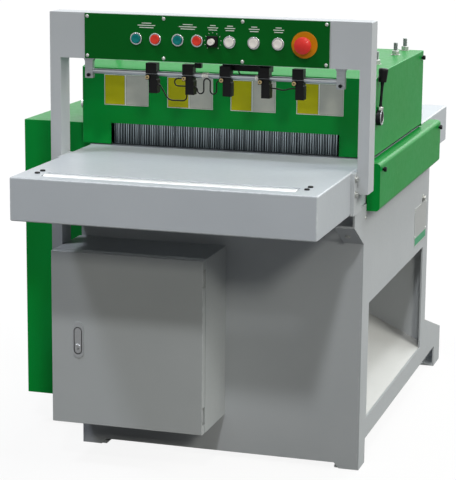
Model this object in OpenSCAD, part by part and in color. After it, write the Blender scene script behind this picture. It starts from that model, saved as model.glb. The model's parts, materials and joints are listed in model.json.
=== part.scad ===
// Multi rip saw: cuts boards into strips with a stack of blades on a lower arbor.
// Axes: +X to the operator's right, +Y along the feed, +Z up. Origin: middle of the floor anchor holes.

/* [Base] */
// Width over the two side walls
base_w = 728; // [700:1:780]
// Depth of the side walls
base_d = 838; // [820:1:880]
// Thickness of the wall plates
wall_t = 5; // [4:0.5:7]
// Height of the table tops above the floor
table_h = 770; // [740:1:800]
// Width of each foot
foot_w = 58; // [45:1:75]
// Depth of each front foot
foot_d = 67; // [55:1:75]
// Clear height under the front panel
panel_lift = 14; // [8:1:30]
// Clear height under the side rails
rail_lift = 62; // [40:1:64]
// Height of the side rails
rail_h = 53; // [40:1:70]
// Length of the outriggers behind the base
outrigger_l = 252; // [200:1:320]
// Height of the outriggers where they leave the base
outrigger_root = 183; // [150:1:220]
// Height of the outriggers at their tail
outrigger_tail = 103; // [80:1:130]
// Depth of each rear foot
rear_foot_d = 89; // [70:1:110]
// Thickness of the foot plates
foot_t = 6; // [5:1:10]
// Radius of the anchor holes
anchor_r = 7; // [5:0.5:9]
// Reach of the side walls' ears ahead of the front panel
ear_reach = 103; // [80:1:120]
// Height of the ears' front edge
ear_h = 38; // [25:1:50]
// Height of the ears at the front panel
ear_drop = 95; // [80:1:120]
// Strip of wall ahead of the chip opening
opening_front = 75; // [70:1:100]
// Strip of wall behind the chip opening
opening_rear = 63; // [50:1:90]
// Height of the chip opening
opening_h = 295; // [240:1:320]
// Rise of the sawdust chute, as a share of the table height
chute_share = 0.442; // [0.42:0.002:0.45]
// Thickness of the chute sheet
chute_t = 3; // [2:0.5:5]

/* [Tables] */
// Height of the tables' folded edges
table_fold = 102; // [90:1:110]
// Thickness of the table sheet
table_t = 5; // [4:0.5:7]
// Length of the infeed table
infeed_l = 517; // [480:1:600]
// Length of the infeed table over the base
table_lap = 60; // [50:1:70]
// Length of the outfeed table
outfeed_l = 434; // [380:1:500]
// Width of the return lip under the tables
lip_w = 28; // [20:1:36]
// Radius of the infeed idler roller
idler_r = 25; // [18:0.5:28]
// Length of the infeed idler roller
idler_l = 598; // [540:1:610]
// Distance from the table's front edge to the idler's axis
idler_set = 61; // [54:1:80]

/* [Gantry] */
// Height of the beam's top above the tables
gantry_h = 347; // [330:1:380]
// Height of the beam
beam_h = 110; // [108:1:125]
// Depth of the beam
beam_d = 60; // [55:1:70]
// Wall thickness of the beam and posts
gantry_t = 3; // [2:0.5:4]
// Width of each post
post_w = 27; // [22:1:34]
// Depth of each post
post_d = 58; // [48:1:60]
// Distance from the table's front edge to the beam's front
gantry_set = 340; // [320:1:356]
// Drop of the right post below the tables
right_post_drop = 54; // [40:1:80]
// Drop of the left post below the tables
left_post_drop = 300; // [270:1:330]
// Thickness of the mounting plates beside the table
mount_t = 9; // [7:0.5:12]
// Depth of the mounting plates
mount_d = 84; // [78:1:95]

/* [Controls] */
// Width of the control panel
panel_w = 604; // [590:1:640]
// Height of the control panel
panel_h = 108; // [96:1:108]
// Thickness of the control panel
panel_t = 3; // [2:0.5:4]
// Radius of the push-button bezels
bezel_r = 14.7; // [13.5:0.1:16]
// Radius of the push-button caps
cap_r = 10.9; // [9.5:0.1:11.5]
// Travel of the push-buttons
button_travel = 3; // [2:0.5:4]
// Distance between a start button and its stop button
pair_pitch = 48; // [36:1:52]
// Distance between the white buttons
white_pitch = 59; // [44:1:60]
// Radius of the emergency stop's disc
estop_disc_r = 31; // [24:0.5:34]
// Radius of the emergency stop's head
estop_head_r = 20; // [16:0.5:22]
// Side of the speed dial's body
dial_side = 26; // [20:1:30]
// Radius of the speed dial's knob
dial_r = 7.5; // [6:0.5:9]

/* [Lasers] */
// Radius of the laser rail
rail_r = 6; // [5:0.5:8]
// Length of the laser rail
laser_rail_l = 606; // [580:1:640]
// Drop of the laser rail's axis below the beam
rail_drop = 33; // [32:0.5:40]
// Width of a laser clamp
clamp_w = 27; // [22:1:32]
// Height of a laser clamp
clamp_h = 72; // [64:1:80]
// Depth of a laser clamp
clamp_d = 24; // [20:1:30]

/* [Saw box] */
// Depth of the saw box along the feed
saw_d = 603; // [596:1:640]
// Thickness of the bed
bed_t = 20; // [14:1:24]
// Height of the hood's top above the tables
hood_h = 206; // [196:1:230]
// Overhang of the hood past the right wall
hood_out = 6; // [4:1:20]
// Overhang of the hood past the left wall
hood_left_out = 22; // [4:1:30]
// Thickness of the hood sheet
hood_t = 3; // [2:0.5:4]
// Height of the open strip under the hood's sides
hood_lift = 17; // [10:1:30]
// Width of the feed slots
slot_w = 591; // [540:1:600]
// Height of the feed slots
slot_h = 55; // [45:1:60]
// Offset of the feed slots from the middle
slot_x = -14; // [-20:1:10]

/* [Anti-kickback fingers] */
// Height of the finger shaft above the tables
shaft_h = 100; // [92:1:110]
// Radius of the finger shaft
shaft_r = 7; // [6:0.5:8]
// Thickness of a finger
finger_t = 3.6; // [2.6:0.1:4]
// Distance from finger to finger
finger_pitch = 5; // [4.6:0.1:7]
// Width of a finger
finger_w = 16; // [12:0.5:18]
// Free swing of the fingers on their shaft
finger_swing = 60; // [40:1:70]
// Length of the lift lever above its shaft
lever_l = 120; // [90:1:140]

/* [Arbor] */
// Radius of the saw blades
blade_r = 125; // [110:1:130]
// Thickness of a saw blade
blade_t = 4; // [3:0.2:5]
// Distance from blade to blade
blade_pitch = 36; // [20:1:40]
// Number of saw blades
blade_n = 9; // [3:1:9]
// Teeth on a saw blade
blade_teeth = 24; // [12:1:36]
// Depth of the arbor below the tables
arbor_drop = 70; // [64:1:80]
// Distance from the saw box's front to the arbor
arbor_set = 338; // [330:1:350]
// Radius of the arbor's journals
arbor_r = 17.5; // [14:0.5:22]
// Radius of the arbor pulley
arbor_pulley_r = 58; // [50:1:68]
// Radius of the motor pulley
motor_pulley_r = 80; // [64:1:88]
// Height of the motor shaft, as a share of the table height
motor_share = 0.247; // [0.24:0.001:0.255]
// Radius of the main motor
motor_r = 98; // [80:1:105]
// Length of the main motor
motor_l = 285; // [220:1:320]

/* [Feed] */
// Length of the feed and pressure rollers
feed_w = 600; // [560:1:610]
// Radius of the lower feed rollers
feed_r = 40; // [34:1:42]
// Height of the rollers' crown above the bed
feed_proud = 1; // [0.5:0.5:2]
// Distance from the saw box's front to the first rollers
front_roller_set = 163; // [158:1:168]
// Distance from the saw box's front to the last rollers
rear_roller_set = 521; // [516:1:522]
// Radius of the feed axles
axle_r = 12.5; // [10:0.5:15]
// Radius of the pressure rollers
press_r = 35; // [28:1:38]
// Clear height under the pressure rollers
press_gap = 8; // [5:1:14]
// Radius of the guide studs
stud_r = 6; // [5:0.5:8]
// Distance between the two guide studs at each end of a carrier
stud_pitch = 124; // [116:1:126]

/* [Covers] */
// Width of the belt cover
belt_cover_w = 195; // [180:1:230]
// Depth of the belt cover
belt_cover_d = 540; // [535:1:560]
// Distance from the front panel to the belt cover
belt_cover_set = 100; // [90:1:120]
// Room below the motor pulley in the belt cover
belt_cover_gap = 22; // [12:1:40]
// Height of the belt cover's top above the tables
belt_cover_rise = 48; // [30:1:80]
// Width of the side cover
side_cover_w = 32; // [30:1:45]
// Length of the side cover
side_cover_l = 791; // [760:1:810]
// Height of the side cover
side_cover_h = 117; // [112:1:125]
// Distance from the front panel to the side cover
side_cover_set = 20; // [5:1:40]
// Thickness of the cover sheet
cover_t = 2; // [1.5:0.5:3]

/* [Cabinet] */
// Width of the cabinet
cab_w = 388; // [360:1:420]
// Drop from the table's underside to the cabinet's top
cab_drop = 123; // [100:1:150]
// Depth of the cabinet with its door
cab_d = 191; // [160:1:220]
// Height of the cabinet above the floor
cab_z = 113; // [90:1:140]
// Thickness of the cabinet sheet
cab_t = 2; // [1.5:0.5:3]
// Depth of the door's folded edges
door_d = 21; // [18:1:26]
// Gap for the door seal
door_gap = 2.5; // [2.4:0.1:4]
// Width of the lock
lock_w = 28; // [24:1:34]
// Length of the lock
lock_l = 90; // [84:1:110]

/* [Hidden] */
$fn = 64;

// Paint and metal colours
grey = "#9fa3a6";
pale_grey = "#bfc1c0";
green = "#0a6b2b";
steel = "#a9afb4";
dark_steel = "#4d555b";
black = "#1c1d1f";
blue = "#0a7d8c";
red = "#cf3a2c";
white = "#e6e1dc";
yellow = "#e39a15";

// Clearances
run_fit = 0.05;
loose_fit = 0.3;
cut = 1;

// Base
half_w = base_w / 2;
inner_w = half_w - wall_t;
front_y = -(foot_d / 2 + base_d + outrigger_l - rear_foot_d / 2) / 2;
rear_y = front_y + base_d;
tail_y = rear_y + outrigger_l;
rail_top = rail_lift + rail_h;
chute_rise = chute_share * table_h;
anchor_x = inner_w - foot_w / 2;
anchor_front = front_y + foot_d / 2;
anchor_rear = tail_y - rear_foot_d / 2;
foot_chamfer = 12;
bracket_w = 45;

// Tables
table_inset = 3;
table_gap = 2;
table_half = half_w - table_inset;
under_z = table_h - table_fold;
infeed_y1 = front_y + table_lap;
infeed_y0 = infeed_y1 - infeed_l;
idler_y = infeed_y0 + idler_set;
idler_proud = 1;
idler_z = table_h + idler_proud - idler_r;
idler_gap = 2;
idler_axle_r = 8;
idler_block = [20, 80, 44];
idler_block_shift = 8;
idler_shoulder = 1;
idler_screw_pitch = 32;
idler_screw_shift = 22;
idler_screw_r = 4.5;
idler_screw_x = 18;
idler_screw_h = 1.5;

// Saw box
saw_y0 = infeed_y1 + table_gap;
saw_y1 = saw_y0 + saw_d;
bed_z = table_h - bed_t;
outfeed_y0 = saw_y1 + table_gap;
outfeed_y1 = outfeed_y0 + outfeed_l;
hood_half = half_w + hood_out;
hood_left = -half_w - hood_left_out;
hood_z = table_h + hood_h;
hood_set = 6;
hood_y0 = saw_y0 + hood_set;
slot_lo = slot_x - slot_w / 2;
slot_hi = slot_x + slot_w / 2;

// Gantry
post_in = table_half + mount_t;
post_out = post_in + post_w;
beam_y0 = infeed_y0 + gantry_set;
beam_y1 = beam_y0 + beam_d;
beam_z1 = table_h + gantry_h;
beam_z0 = beam_z1 - beam_h;
post_y1 = beam_y0 + post_d;
mount_y1 = post_y1 - table_gap;
mount_y0 = mount_y1 - mount_d;
bolt_y = (mount_y0 + beam_y0) / 2;
bolt_z = [table_h - 16, table_h - 52];
bolt_r = 6.5;
bolt_h = 5;
washer_r = 8.5;
washer_t = 1.5;
post_bolt_lift = 22;

// Controls
panel_x = -4;
panel_y = beam_y0 - panel_t;
panel_z = beam_z0 + 1;
control_z = panel_z + 52;
control_set = [-170, -66, 20, 62, 243];
first_button_x = panel_x + control_set[0];
second_pair_x = panel_x + control_set[1];
dial_x = panel_x + control_set[2];
first_white_x = panel_x + control_set[3];
estop_x = panel_x + control_set[4];
button_x = [
    first_button_x, first_button_x + pair_pitch, second_pair_x, second_pair_x + pair_pitch,
    first_white_x, first_white_x + white_pitch, first_white_x + 2 * white_pitch
];
bezel_h = 5;
cap_out = 4;
bezel_floor = 1.2;
cap_h = bezel_h + cap_out - bezel_floor - loose_fit - button_travel;
barrel_wall = 2;
barrel_r = cap_r;
plunger_r = barrel_r - barrel_wall;
barrel_l = 28;
plunger_l = 20;
control_hole_r = barrel_r + loose_fit;
dial_body_h = 8;
dial_shaft_r = 3;
dial_knob_h = 12;
dial_face_gap = 0.3;
estop_disc_t = 2.5;
estop_collar_r = 15;
estop_collar_h = 7;
estop_stem_r = 10.8;
estop_travel = 4;
estop_head_h = 13;
estop_face_gap = 1;
estop_front = panel_y - estop_disc_t - estop_collar_h - estop_travel - estop_face_gap;
estop_spigot_r = 6;
estop_spigot_l = 7;
screw_r = 3.2;
screw_h = 1.6;
screw_inset = 7;
screw_x = [-1, -0.345, 0.315, 1];

// Lasers
laser_y = (beam_y0 + beam_y1) / 2;
laser_z = beam_z0 - rail_drop;
rail_x = 7;
hanger_w = 20;
hanger_d = 14;
hanger_flare = 4;
hanger_taper = 10;
hanger_tail = 17;
clamp_x = [-145, -53, 40, 135, 218];
clamp_above = 26;
clamp_below = 14;
laser_w = 21;
clamp_slit = 2;
laser_shift = 5;
lens_r = 4;
lens_deep = 6;
thumb_r = 4;
thumb_l = 6;
supply_x = [26, 148];
supply_y = [laser_y + 13, beam_y1];
clip_x = [-37, -21];
clip_y = [laser_y - 8, laser_y + 8];
clip_h = 15;
supply_h = 20;
lead_r = 1.7;
lead_sides = 8;
bend_steps = 6;
lead_gap = 0.5;
lead_y = laser_y - 9;
loop_x = 66;
loop_w = 52;
loop_y = supply_y[0] + lead_gap + 2 * lead_r;
clamp_side = clamp_w / 2;
laser_out = laser_shift + laser_w / 2 - clamp_side;
laser_in = clamp_side + laser_shift - laser_w / 2;
clamp_foot = laser_z + clamp_above - clamp_h;
supply_floor = beam_z0 - supply_h;

// Finger curtain
eye_r = shaft_r + 5.5;
eye_gap = 1.5;
shaft_y = hood_y0 + hood_t + eye_gap + eye_r;
shaft_z = table_h + shaft_h;
tip_gap = 2;
finger_l = shaft_h - tip_gap;
key_w = 3;
key_out = 2;
key_slack = 2;
end_gap = 6;
finger_n = floor((slot_w - 2 * end_gap - finger_t) / finger_pitch) + 1;
finger_first = slot_x - (finger_n - 1) * finger_pitch / 2;
finger_lean = 0.8;
finger_step = 137.5;
claw = 7;
hub_r = 19;
hub_h = 11;
hub_gap = 1;
collar_h = 6;
lever_stem_r = 4;
grip_l = 33;
grip_r = [9.5, 12];
lever_tilt = 4;
lever_lean = 2.5;

// Arbor and its drive
motor_h = round(motor_share * table_h);
arbor_y = saw_y0 + arbor_set;
arbor_z = table_h - arbor_drop;
sleeve_r = arbor_r + 7.5;
stack_half = (blade_n - 1) * blade_pitch / 2 + blade_t / 2;
collar_r = 45;
collar_t = 12;
bearing_w = 35;
bearing_x = feed_w / 2;
bearing_half = 55;
bearing_drop = 50;
belt_n = 3;
belt_w = 13;
belt_t = 9;
belt_pitch = 19;
pulley_edge = 2.5;
pulley_w = belt_n * belt_pitch + 2 * pulley_edge;
pulley_set = 100;
pulley_x = -half_w - pulley_set;
groove_t = belt_t + 1;
arbor_hole_r = arbor_r + 12;
arbor_tail = 6;
arbor_end = pulley_x - pulley_w / 2 - 2 * arbor_tail;
motor_shaft_r = 19;
motor_hole_r = motor_shaft_r + 6;
flange_r = motor_r + 24;
flange_t = 14;
fin_n = 24;
fin_h = 6;
fin_in = 1;
fin_t = 3;
fan_l = 55;
window_gap = 6;
bed_dip = sqrt(blade_r * blade_r - (arbor_drop - bed_t) * (arbor_drop - bed_t));

// Feed
front_roller_y = saw_y0 + front_roller_set;
rear_roller_y = saw_y0 + rear_roller_set;
feed_z = table_h + feed_proud - feed_r;
feed_half = feed_w / 2;
roller_gap = 4;
flange_bearing_r = axle_r + 17;
flange_bearing_t = 12;
sprocket_r = 26;
sprocket_w = 6;
sprocket_gap = 5;
axle_tail = 2;
sprocket_x = half_w + sprocket_gap;
chain_t = 6;
chain_w = 9;
gear_y = rear_roller_y;
gear_share = 0.208;
gear_z = feed_z - gear_share * table_h;
gear_shaft_r = 11;
gearbox = [96, 116, 116];
gear_motor_l = 190;
gear_motor_r = 52;
press_z = table_h + press_gap + press_r;
press_axle_r = 10;
stud_x = feed_half + 22;
block_w = 32;
block_over = 14;
block_below = 18;
bridge_d = 40;
bridge_h = 25;
bridge_gap = 5;
block_top = press_z + press_r + bridge_gap + bridge_h;
nut_r = stud_r * 1.75;
nut_h = stud_r * 1.7;
stud_out = 22;
washer_lip = 2;

// Covers
belt_cover_x = -half_w - belt_cover_w;
belt_cover_y0 = front_y + belt_cover_set;
belt_cover_z = motor_h - motor_pulley_r - belt_cover_gap;
belt_cover_y1 = belt_cover_y0 + belt_cover_d;
belt_cover_top = table_h + belt_cover_rise;
belt_cover_neck = table_h + hood_lift - 3;
hood_clear = 1.5;
side_cover_y0 = front_y + side_cover_set;
side_cover_y1 = side_cover_y0 + side_cover_l;
side_cover_top = table_h - 2;
side_cover_corner = 10;
knob_r = 6;
knob_h = 10;
knob_inset = [26, 17];

// Cabinet
cab_x0 = -post_in;
cab_x1 = cab_x0 + cab_w;
cab_y0 = front_y - cab_d;
cab_z1 = under_z - cab_drop;
box_y0 = cab_y0 + door_d + door_gap;
frame_w = 15;
pin_r = 3;
pin_x = cab_x1 - 6;
pin_y = cab_y0 + door_d - 9.5;
knuckle_r = 4;
knuckle_h = 28;
lug_t = 5;
lug_gap = 0.5;
lug_back = 8;
hinge_half = knuckle_h / 2 + lug_gap + lug_t;
hinge_inset = 45;
hinge_slack = 3;
gland_r = 14;
gland_bore_r = 8;
gland_l = 22;
gland_set = [90, 60];
gland_x = cab_x0 + gland_set[0];
gland_y = front_y - gland_set[1];
tray_inset = 26;
tray_pad = 10;
tray_t = 2;
din_w = 35;
din_t = 7;
tray_h = cab_z1 - cab_z - 2 * tray_inset;
tray_share = [0.18, 0.53, 0.21, 0.47];
din_drop = tray_share[0] * tray_h;
din_pitch = tray_share[1] * tray_h;
unit_n = 5;
unit_size = [45, 78, tray_share[2] * tray_h];
unit_gap = 3;
drive_size = [110, 120, tray_share[3] * tray_h];
lock_set = [69, 213];
lock_x = cab_x0 + lock_set[0];
lock_z = cab_z + lock_set[1];
lock_face = 2;
lock_front = cab_y0 - lock_face;
lock_lip = 2.5;
lock_deep = 16;
lock_rim = 4.5;
lock_end = 12;
pocket_w = lock_w - 2 * lock_rim;
pocket_l = lock_l - 2 * lock_end;
pocket_set = 2;
pocket_z = lock_z - pocket_set;
handle_gap = 0.8;
handle_t = 6;
handle_pin_r = 2;
handle_pin_l = pocket_w + 2;
handle_pin_z = pocket_z + (pocket_l - pocket_w) / 2;
lock_split = pocket_z - pocket_l / 7;
lock_button_travel = 2.5;
lock_button_l = 7;
lock_floor = 1.5;
pocket_deep = lock_button_l + lock_button_travel + lock_floor;
keyhole_r = 2;
keyhole_deep = 2;

// A block between two corners, given as ranges
module block(x, y, z) {
    translate([x[0], y[0], z[0]])
        cube([x[1] - x[0], y[1] - y[0], z[1] - z[0]]);
}

// Round bars along each axis
module bar_x(x, y, z, r) {
    translate([x[0], y, z])
        rotate([0, 90, 0])
            cylinder(h = x[1] - x[0], r = r);
}

module bar_y(x, y, z, r) {
    translate([x, y[0], z])
        rotate([-90, 0, 0])
            cylinder(h = y[1] - y[0], r = r);
}

module bar_z(x, y, z, r) {
    translate([x, y, z[0]])
        cylinder(h = z[1] - z[0], r = r);
}

// A flat shape drawn in Y and Z, given its thickness along X
module along_x(x) {
    translate([x[0], 0, 0])
        rotate([90, 0, 90])
            linear_extrude(x[1] - x[0])
                children();
}

// A flat shape drawn in X and Z, given its thickness along Y
module along_y(y) {
    translate([0, y[1], 0])
        rotate([90, 0, 0])
            linear_extrude(y[1] - y[0])
                children();
}

// A turned piece: a profile of radius and depth, set on a face and facing the operator
module turned_y(x, y, z) {
    translate([x, y, z])
        rotate([90, 0, 0])
            rotate_extrude()
                children();
}

// A rectangle with round corners, centred
module round_rect(w, h, r) {
    square([w - 2 * r, h], center = true);
    square([w, h - 2 * r], center = true);
    for (sx = [-1, 1], sy = [-1, 1])
        translate([sx * (w / 2 - r), sy * (h / 2 - r)])
            circle(r);
}

// An oblong with half-round ends, upright and centred
module oblong(w, h) {
    square([w, h - w], center = true);
    for (s = [-1, 1])
        translate([0, s * (h - w) / 2])
            circle(w / 2);
}

// A hexagon head with its washer, seated on a face that looks along +X or -X
module hex_head_x(side, x, y, z) {
    translate([x, y, z])
        rotate([0, side * 90, 0]) {
            cylinder(h = washer_t, r = washer_r);
            cylinder(h = washer_t + bolt_h, r = bolt_r, $fn = 6);
        }
}

// Outline of the left and right side walls, in Y and Z
module wall_outline() {
    polygon([
        [front_y, 0],
        [front_y + foot_d, 0],
        [front_y + foot_d, rail_lift],
        [tail_y - rear_foot_d, rail_lift],
        [tail_y - rear_foot_d, 0],
        [tail_y, 0],
        [tail_y, outrigger_tail],
        [rear_y, outrigger_root],
        [rear_y, under_z],
        [outfeed_y0, under_z],
        [saw_y1, bed_z],
        [saw_y0, bed_z],
        [saw_y0, under_z],
        [front_y - ear_reach, under_z],
        [front_y - ear_reach, under_z - ear_h],
        [front_y, under_z - ear_drop]
    ]);
}

module side_walls() {
    color(grey) {
        difference() {
            along_x([inner_w, half_w])
                wall_outline();
            block(
                [inner_w - cut, half_w + cut],
                [front_y + opening_front, rear_y - opening_rear],
                [rail_top, rail_top + opening_h]
            );
            for (y = [front_roller_y, rear_roller_y])
                bar_x([inner_w - cut, half_w + cut], y, feed_z, axle_r + loose_fit);
        }
        difference() {
            along_x([-half_w, -inner_w])
                wall_outline();
            for (y = [front_roller_y, rear_roller_y])
                bar_x([-half_w - cut, -inner_w + cut], y, feed_z, axle_r + loose_fit);
            bar_x([-half_w - cut, -inner_w + cut], arbor_y, arbor_z, arbor_hole_r);
            bar_x([-half_w - cut, -inner_w + cut], arbor_y, motor_h, motor_hole_r);
            bar_x([-half_w - cut, -inner_w + cut], gear_y, gear_z, gear_shaft_r + loose_fit);
        }
    }
}

module end_panels() {
    foot_in = inner_w - foot_w;
    color(grey) {
        along_y([front_y, front_y + wall_t])
            polygon([
                [-inner_w, 0],
                [-foot_in - foot_chamfer, 0],
                [-foot_in, panel_lift],
                [foot_in, panel_lift],
                [foot_in + foot_chamfer, 0],
                [inner_w, 0],
                [inner_w, under_z],
                [-inner_w, under_z]
            ]);
        block([-inner_w, inner_w], [rear_y - wall_t, rear_y], [rail_lift, under_z]);
    }
}

// Foot plates with anchor holes; the rear pair also close the outriggers' tails
module foot_plates() {
    color(grey)
        for (s = [-1, 1])
            translate([s * anchor_x, 0, 0]) {
                difference() {
                    block([-foot_w / 2, foot_w / 2], [front_y + wall_t, front_y + foot_d], [0, foot_t]);
                    bar_z(0, anchor_front, [-cut, foot_t + cut], anchor_r);
                }
                difference() {
                    union() {
                        block([-foot_w / 2, foot_w / 2], [tail_y - rear_foot_d, tail_y], [0, foot_t]);
                        block([-foot_w / 2, foot_w / 2], [tail_y - wall_t, tail_y], [0, outrigger_tail]);
                    }
                    bar_z(0, anchor_rear, [-cut, foot_t + cut], anchor_r);
                }
            }
}

module sawdust_chute() {
    color(pale_grey)
        along_y([front_y + wall_t, rear_y - wall_t])
            polygon([
                [inner_w, rail_top - chute_t],
                [inner_w, rail_top],
                [-inner_w, rail_top + chute_rise],
                [-inner_w, rail_top + chute_rise - chute_t]
            ]);
}

module bed_plate() {
    blade_window = stack_half + window_gap;
    color(steel)
        difference() {
            block([-half_w, half_w], [saw_y0, saw_y1], [bed_z, table_h]);
            for (y = [front_roller_y, rear_roller_y])
                block(
                    [-feed_half - roller_gap, feed_half + roller_gap],
                    [y - feed_r - roller_gap, y + feed_r + roller_gap],
                    [bed_z - cut, table_h + cut]
                );
            block(
                [-blade_window, blade_window],
                [arbor_y - bed_dip - window_gap, arbor_y + bed_dip + window_gap],
                [bed_z - cut, table_h + cut]
            );
        }
}

// Inclined plates that close the ears below the infeed table
module table_brackets() {
    color(grey)
        for (s = [-1, 1])
            along_x(s > 0 ? [inner_w - bracket_w, inner_w] : [-inner_w, -inner_w + bracket_w])
                polygon([
                    [front_y - ear_reach, under_z - ear_h],
                    [front_y, under_z - ear_drop],
                    [front_y, under_z - ear_drop + wall_t],
                    [front_y - ear_reach, under_z - ear_h + wall_t]
                ]);
}

// A folded pan, open below, with a return lip along its lower edges
module table_pan(y0, y1) {
    difference() {
        block([-table_half, table_half], [y0, y1], [under_z, table_h]);
        block(
            [-table_half + table_t, table_half - table_t],
            [y0 + table_t, y1 - table_t],
            [under_z + table_t, table_h - table_t]
        );
        block(
            [-table_half + lip_w, table_half - lip_w],
            [y0 + lip_w, y1 - lip_w],
            [under_z - cut, under_z + table_t + cut]
        );
    }
}

module infeed_table() {
    color(pale_grey)
        difference() {
            table_pan(infeed_y0, infeed_y1);
            block(
                [-idler_l / 2 - idler_gap, idler_l / 2 + idler_gap],
                [idler_y - idler_r - idler_gap, idler_y + idler_r + idler_gap],
                [table_h - table_t - cut, table_h + cut]
            );
        }
}

module outfeed_table() {
    color(pale_grey)
        table_pan(outfeed_y0, outfeed_y1);
}

module infeed_roller() {
    axle_half = idler_l / 2 + idler_gap + idler_shoulder + idler_block[0];
    color(steel) {
        bar_x([-idler_l / 2, idler_l / 2], idler_y, idler_z, idler_r);
        bar_x([-axle_half, axle_half], idler_y, idler_z, idler_axle_r);
    }
}

// Bearing blocks hung under the table top at the roller's ends, with their two screws each
module roller_blocks() {
    inside = idler_l / 2 + idler_gap + idler_shoulder;
    middle = idler_y + idler_block_shift;
    color(black)
        for (s = [-1, 1]) {
            difference() {
                block(
                    s > 0 ? [inside, inside + idler_block[0]] : [-inside - idler_block[0], -inside],
                    [middle - idler_block[1] / 2, middle + idler_block[1] / 2],
                    [table_h - table_t - idler_block[2], table_h - table_t]
                );
                bar_x([s * inside - idler_block[0] - cut, s * inside + idler_block[0] + cut],
                    idler_y, idler_z, idler_axle_r + run_fit);
            }
            for (k = [-1, 1])
                bar_z(s * (inside + idler_screw_x), idler_y + idler_screw_shift + k * idler_screw_pitch / 2,
                    [table_h, table_h + idler_screw_h], idler_screw_r);
        }
}

module gantry_frame() {
    color(grey)
        difference() {
            union() {
                block([-post_out, post_out], [beam_y0, beam_y1], [beam_z0, beam_z1]);
                block([post_in, post_out], [beam_y0, post_y1], [table_h - right_post_drop, beam_z0]);
                block([-post_out, -post_in], [beam_y0, post_y1], [table_h - left_post_drop, beam_z0]);
                for (x = [[table_half, post_in], [-post_in, -table_half]])
                    block(x, [mount_y0, mount_y1], [under_z, table_h - table_gap]);
            }
            block(
                [-post_out + gantry_t, post_out - gantry_t],
                [beam_y0 + gantry_t, beam_y1 - gantry_t],
                [beam_z0 + gantry_t, beam_z1 - gantry_t]
            );
            for (p = [[1, right_post_drop], [-1, left_post_drop]])
                block(
                    p[0] > 0
                        ? [post_in + gantry_t, post_out - gantry_t]
                        : [-post_out + gantry_t, -post_in - gantry_t],
                    [beam_y0 + gantry_t, post_y1 - gantry_t],
                    [table_h - p[1] + gantry_t, beam_z0 + gantry_t + cut]
                );
            for (x = concat(button_x, [dial_x, estop_x]))
                bar_y(x, [beam_y0 - cut, beam_y0 + gantry_t + cut], control_z, control_hole_r);
        }
}

// Bolts of the gantry and brackets, and the screws of the control panel
module frame_bolts() {
    slope = atan2(ear_drop - ear_h, ear_reach);
    color(steel) {
        for (s = [-1, 1], z = bolt_z)
            hex_head_x(s, s * post_in, bolt_y, z);
        hex_head_x(-1, -post_out, (beam_y0 + post_y1) / 2, table_h - left_post_drop + post_bolt_lift);
        for (s = [-1, 1])
            translate([
                s * (inner_w - bracket_w / 2),
                front_y - ear_reach / 2,
                under_z - (ear_h + ear_drop) / 2
            ])
                rotate([180 - slope, 0, 0])
                    cylinder(h = bolt_h, r = bolt_r, $fn = 6);
        for (i = [0 : len(screw_x) - 1], k = [-1, 1])
            turned_y(
                panel_x + screw_x[i] * (panel_w / 2 - screw_inset),
                panel_y,
                panel_z + panel_h / 2 + k * (panel_h / 2 - screw_inset)
            )
                square([screw_r, screw_h]);
    }
}

module control_panel() {
    color(green)
        difference() {
            block([panel_x - panel_w / 2, panel_x + panel_w / 2], [panel_y, beam_y0],
                [panel_z, panel_z + panel_h]);
            for (x = concat(button_x, [dial_x, estop_x]))
                bar_y(x, [panel_y - cut, beam_y0 + cut], control_z, control_hole_r);
        }
}

// Bezels with the barrels that pass through the panel and the beam
module button_bezels() {
    color(dark_steel)
        for (x = button_x)
            difference() {
                union() {
                    bar_y(x, [panel_y - bezel_h, panel_y], control_z, bezel_r);
                    bar_y(x, [panel_y - cut, panel_y + barrel_l], control_z, barrel_r);
                }
                bar_y(x, [panel_y - bezel_h - cut, panel_y - bezel_floor], control_z, cap_r + loose_fit);
                bar_y(x, [panel_y - bezel_h, panel_y + barrel_l + cut], control_z, plunger_r + loose_fit);
            }
}

// A push-button cap with its plunger, and a shallow dish in its face
module push_button(x) {
    dish_r = 3 * cap_r;
    dish_deep = 0.8;
    face = panel_y - bezel_h - cap_out;
    difference() {
        union() {
            bar_y(x, [face, face + cap_h], control_z, cap_r);
            bar_y(x, [face + cap_h - cut, panel_y + plunger_l], control_z, plunger_r);
        }
        translate([x, face + dish_deep - dish_r, control_z])
            sphere(dish_r);
    }
}

module saw_start_button() {
    color(blue)
        push_button(button_x[0]);
}

module saw_stop_button() {
    color(red)
        push_button(button_x[1]);
}

module feed_start_button() {
    color(blue)
        push_button(button_x[2]);
}

module feed_stop_button() {
    color(red)
        push_button(button_x[3]);
}

module reset_button() {
    color(white)
        push_button(button_x[4]);
}

module laser_button() {
    color(white)
        push_button(button_x[5]);
}

module lit_button() {
    color(white)
        push_button(button_x[6]);
}

module dial_body() {
    corner = 3;
    color(black)
        difference() {
            translate([dial_x, 0, control_z])
                along_y([panel_y - dial_body_h, panel_y])
                    round_rect(dial_side, dial_side, corner);
            bar_y(dial_x, [panel_y - dial_body_h - cut, panel_y + cut], control_z, dial_shaft_r + run_fit);
        }
}

// Knob with a pointer rib and the shaft that turns in the body
module dial_knob() {
    rib_w = 2;
    rib_out = 1;
    face = panel_y - dial_body_h - dial_face_gap;
    color(white) {
        bar_y(dial_x, [face - dial_knob_h, face], control_z, dial_r);
        bar_y(dial_x, [face - cut, panel_y - cut], control_z, dial_shaft_r);
        block([dial_x - rib_w / 2, dial_x + rib_w / 2], [face - dial_knob_h - rib_out, face - dial_knob_h],
            [control_z, control_z + dial_r]);
    }
}

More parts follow.
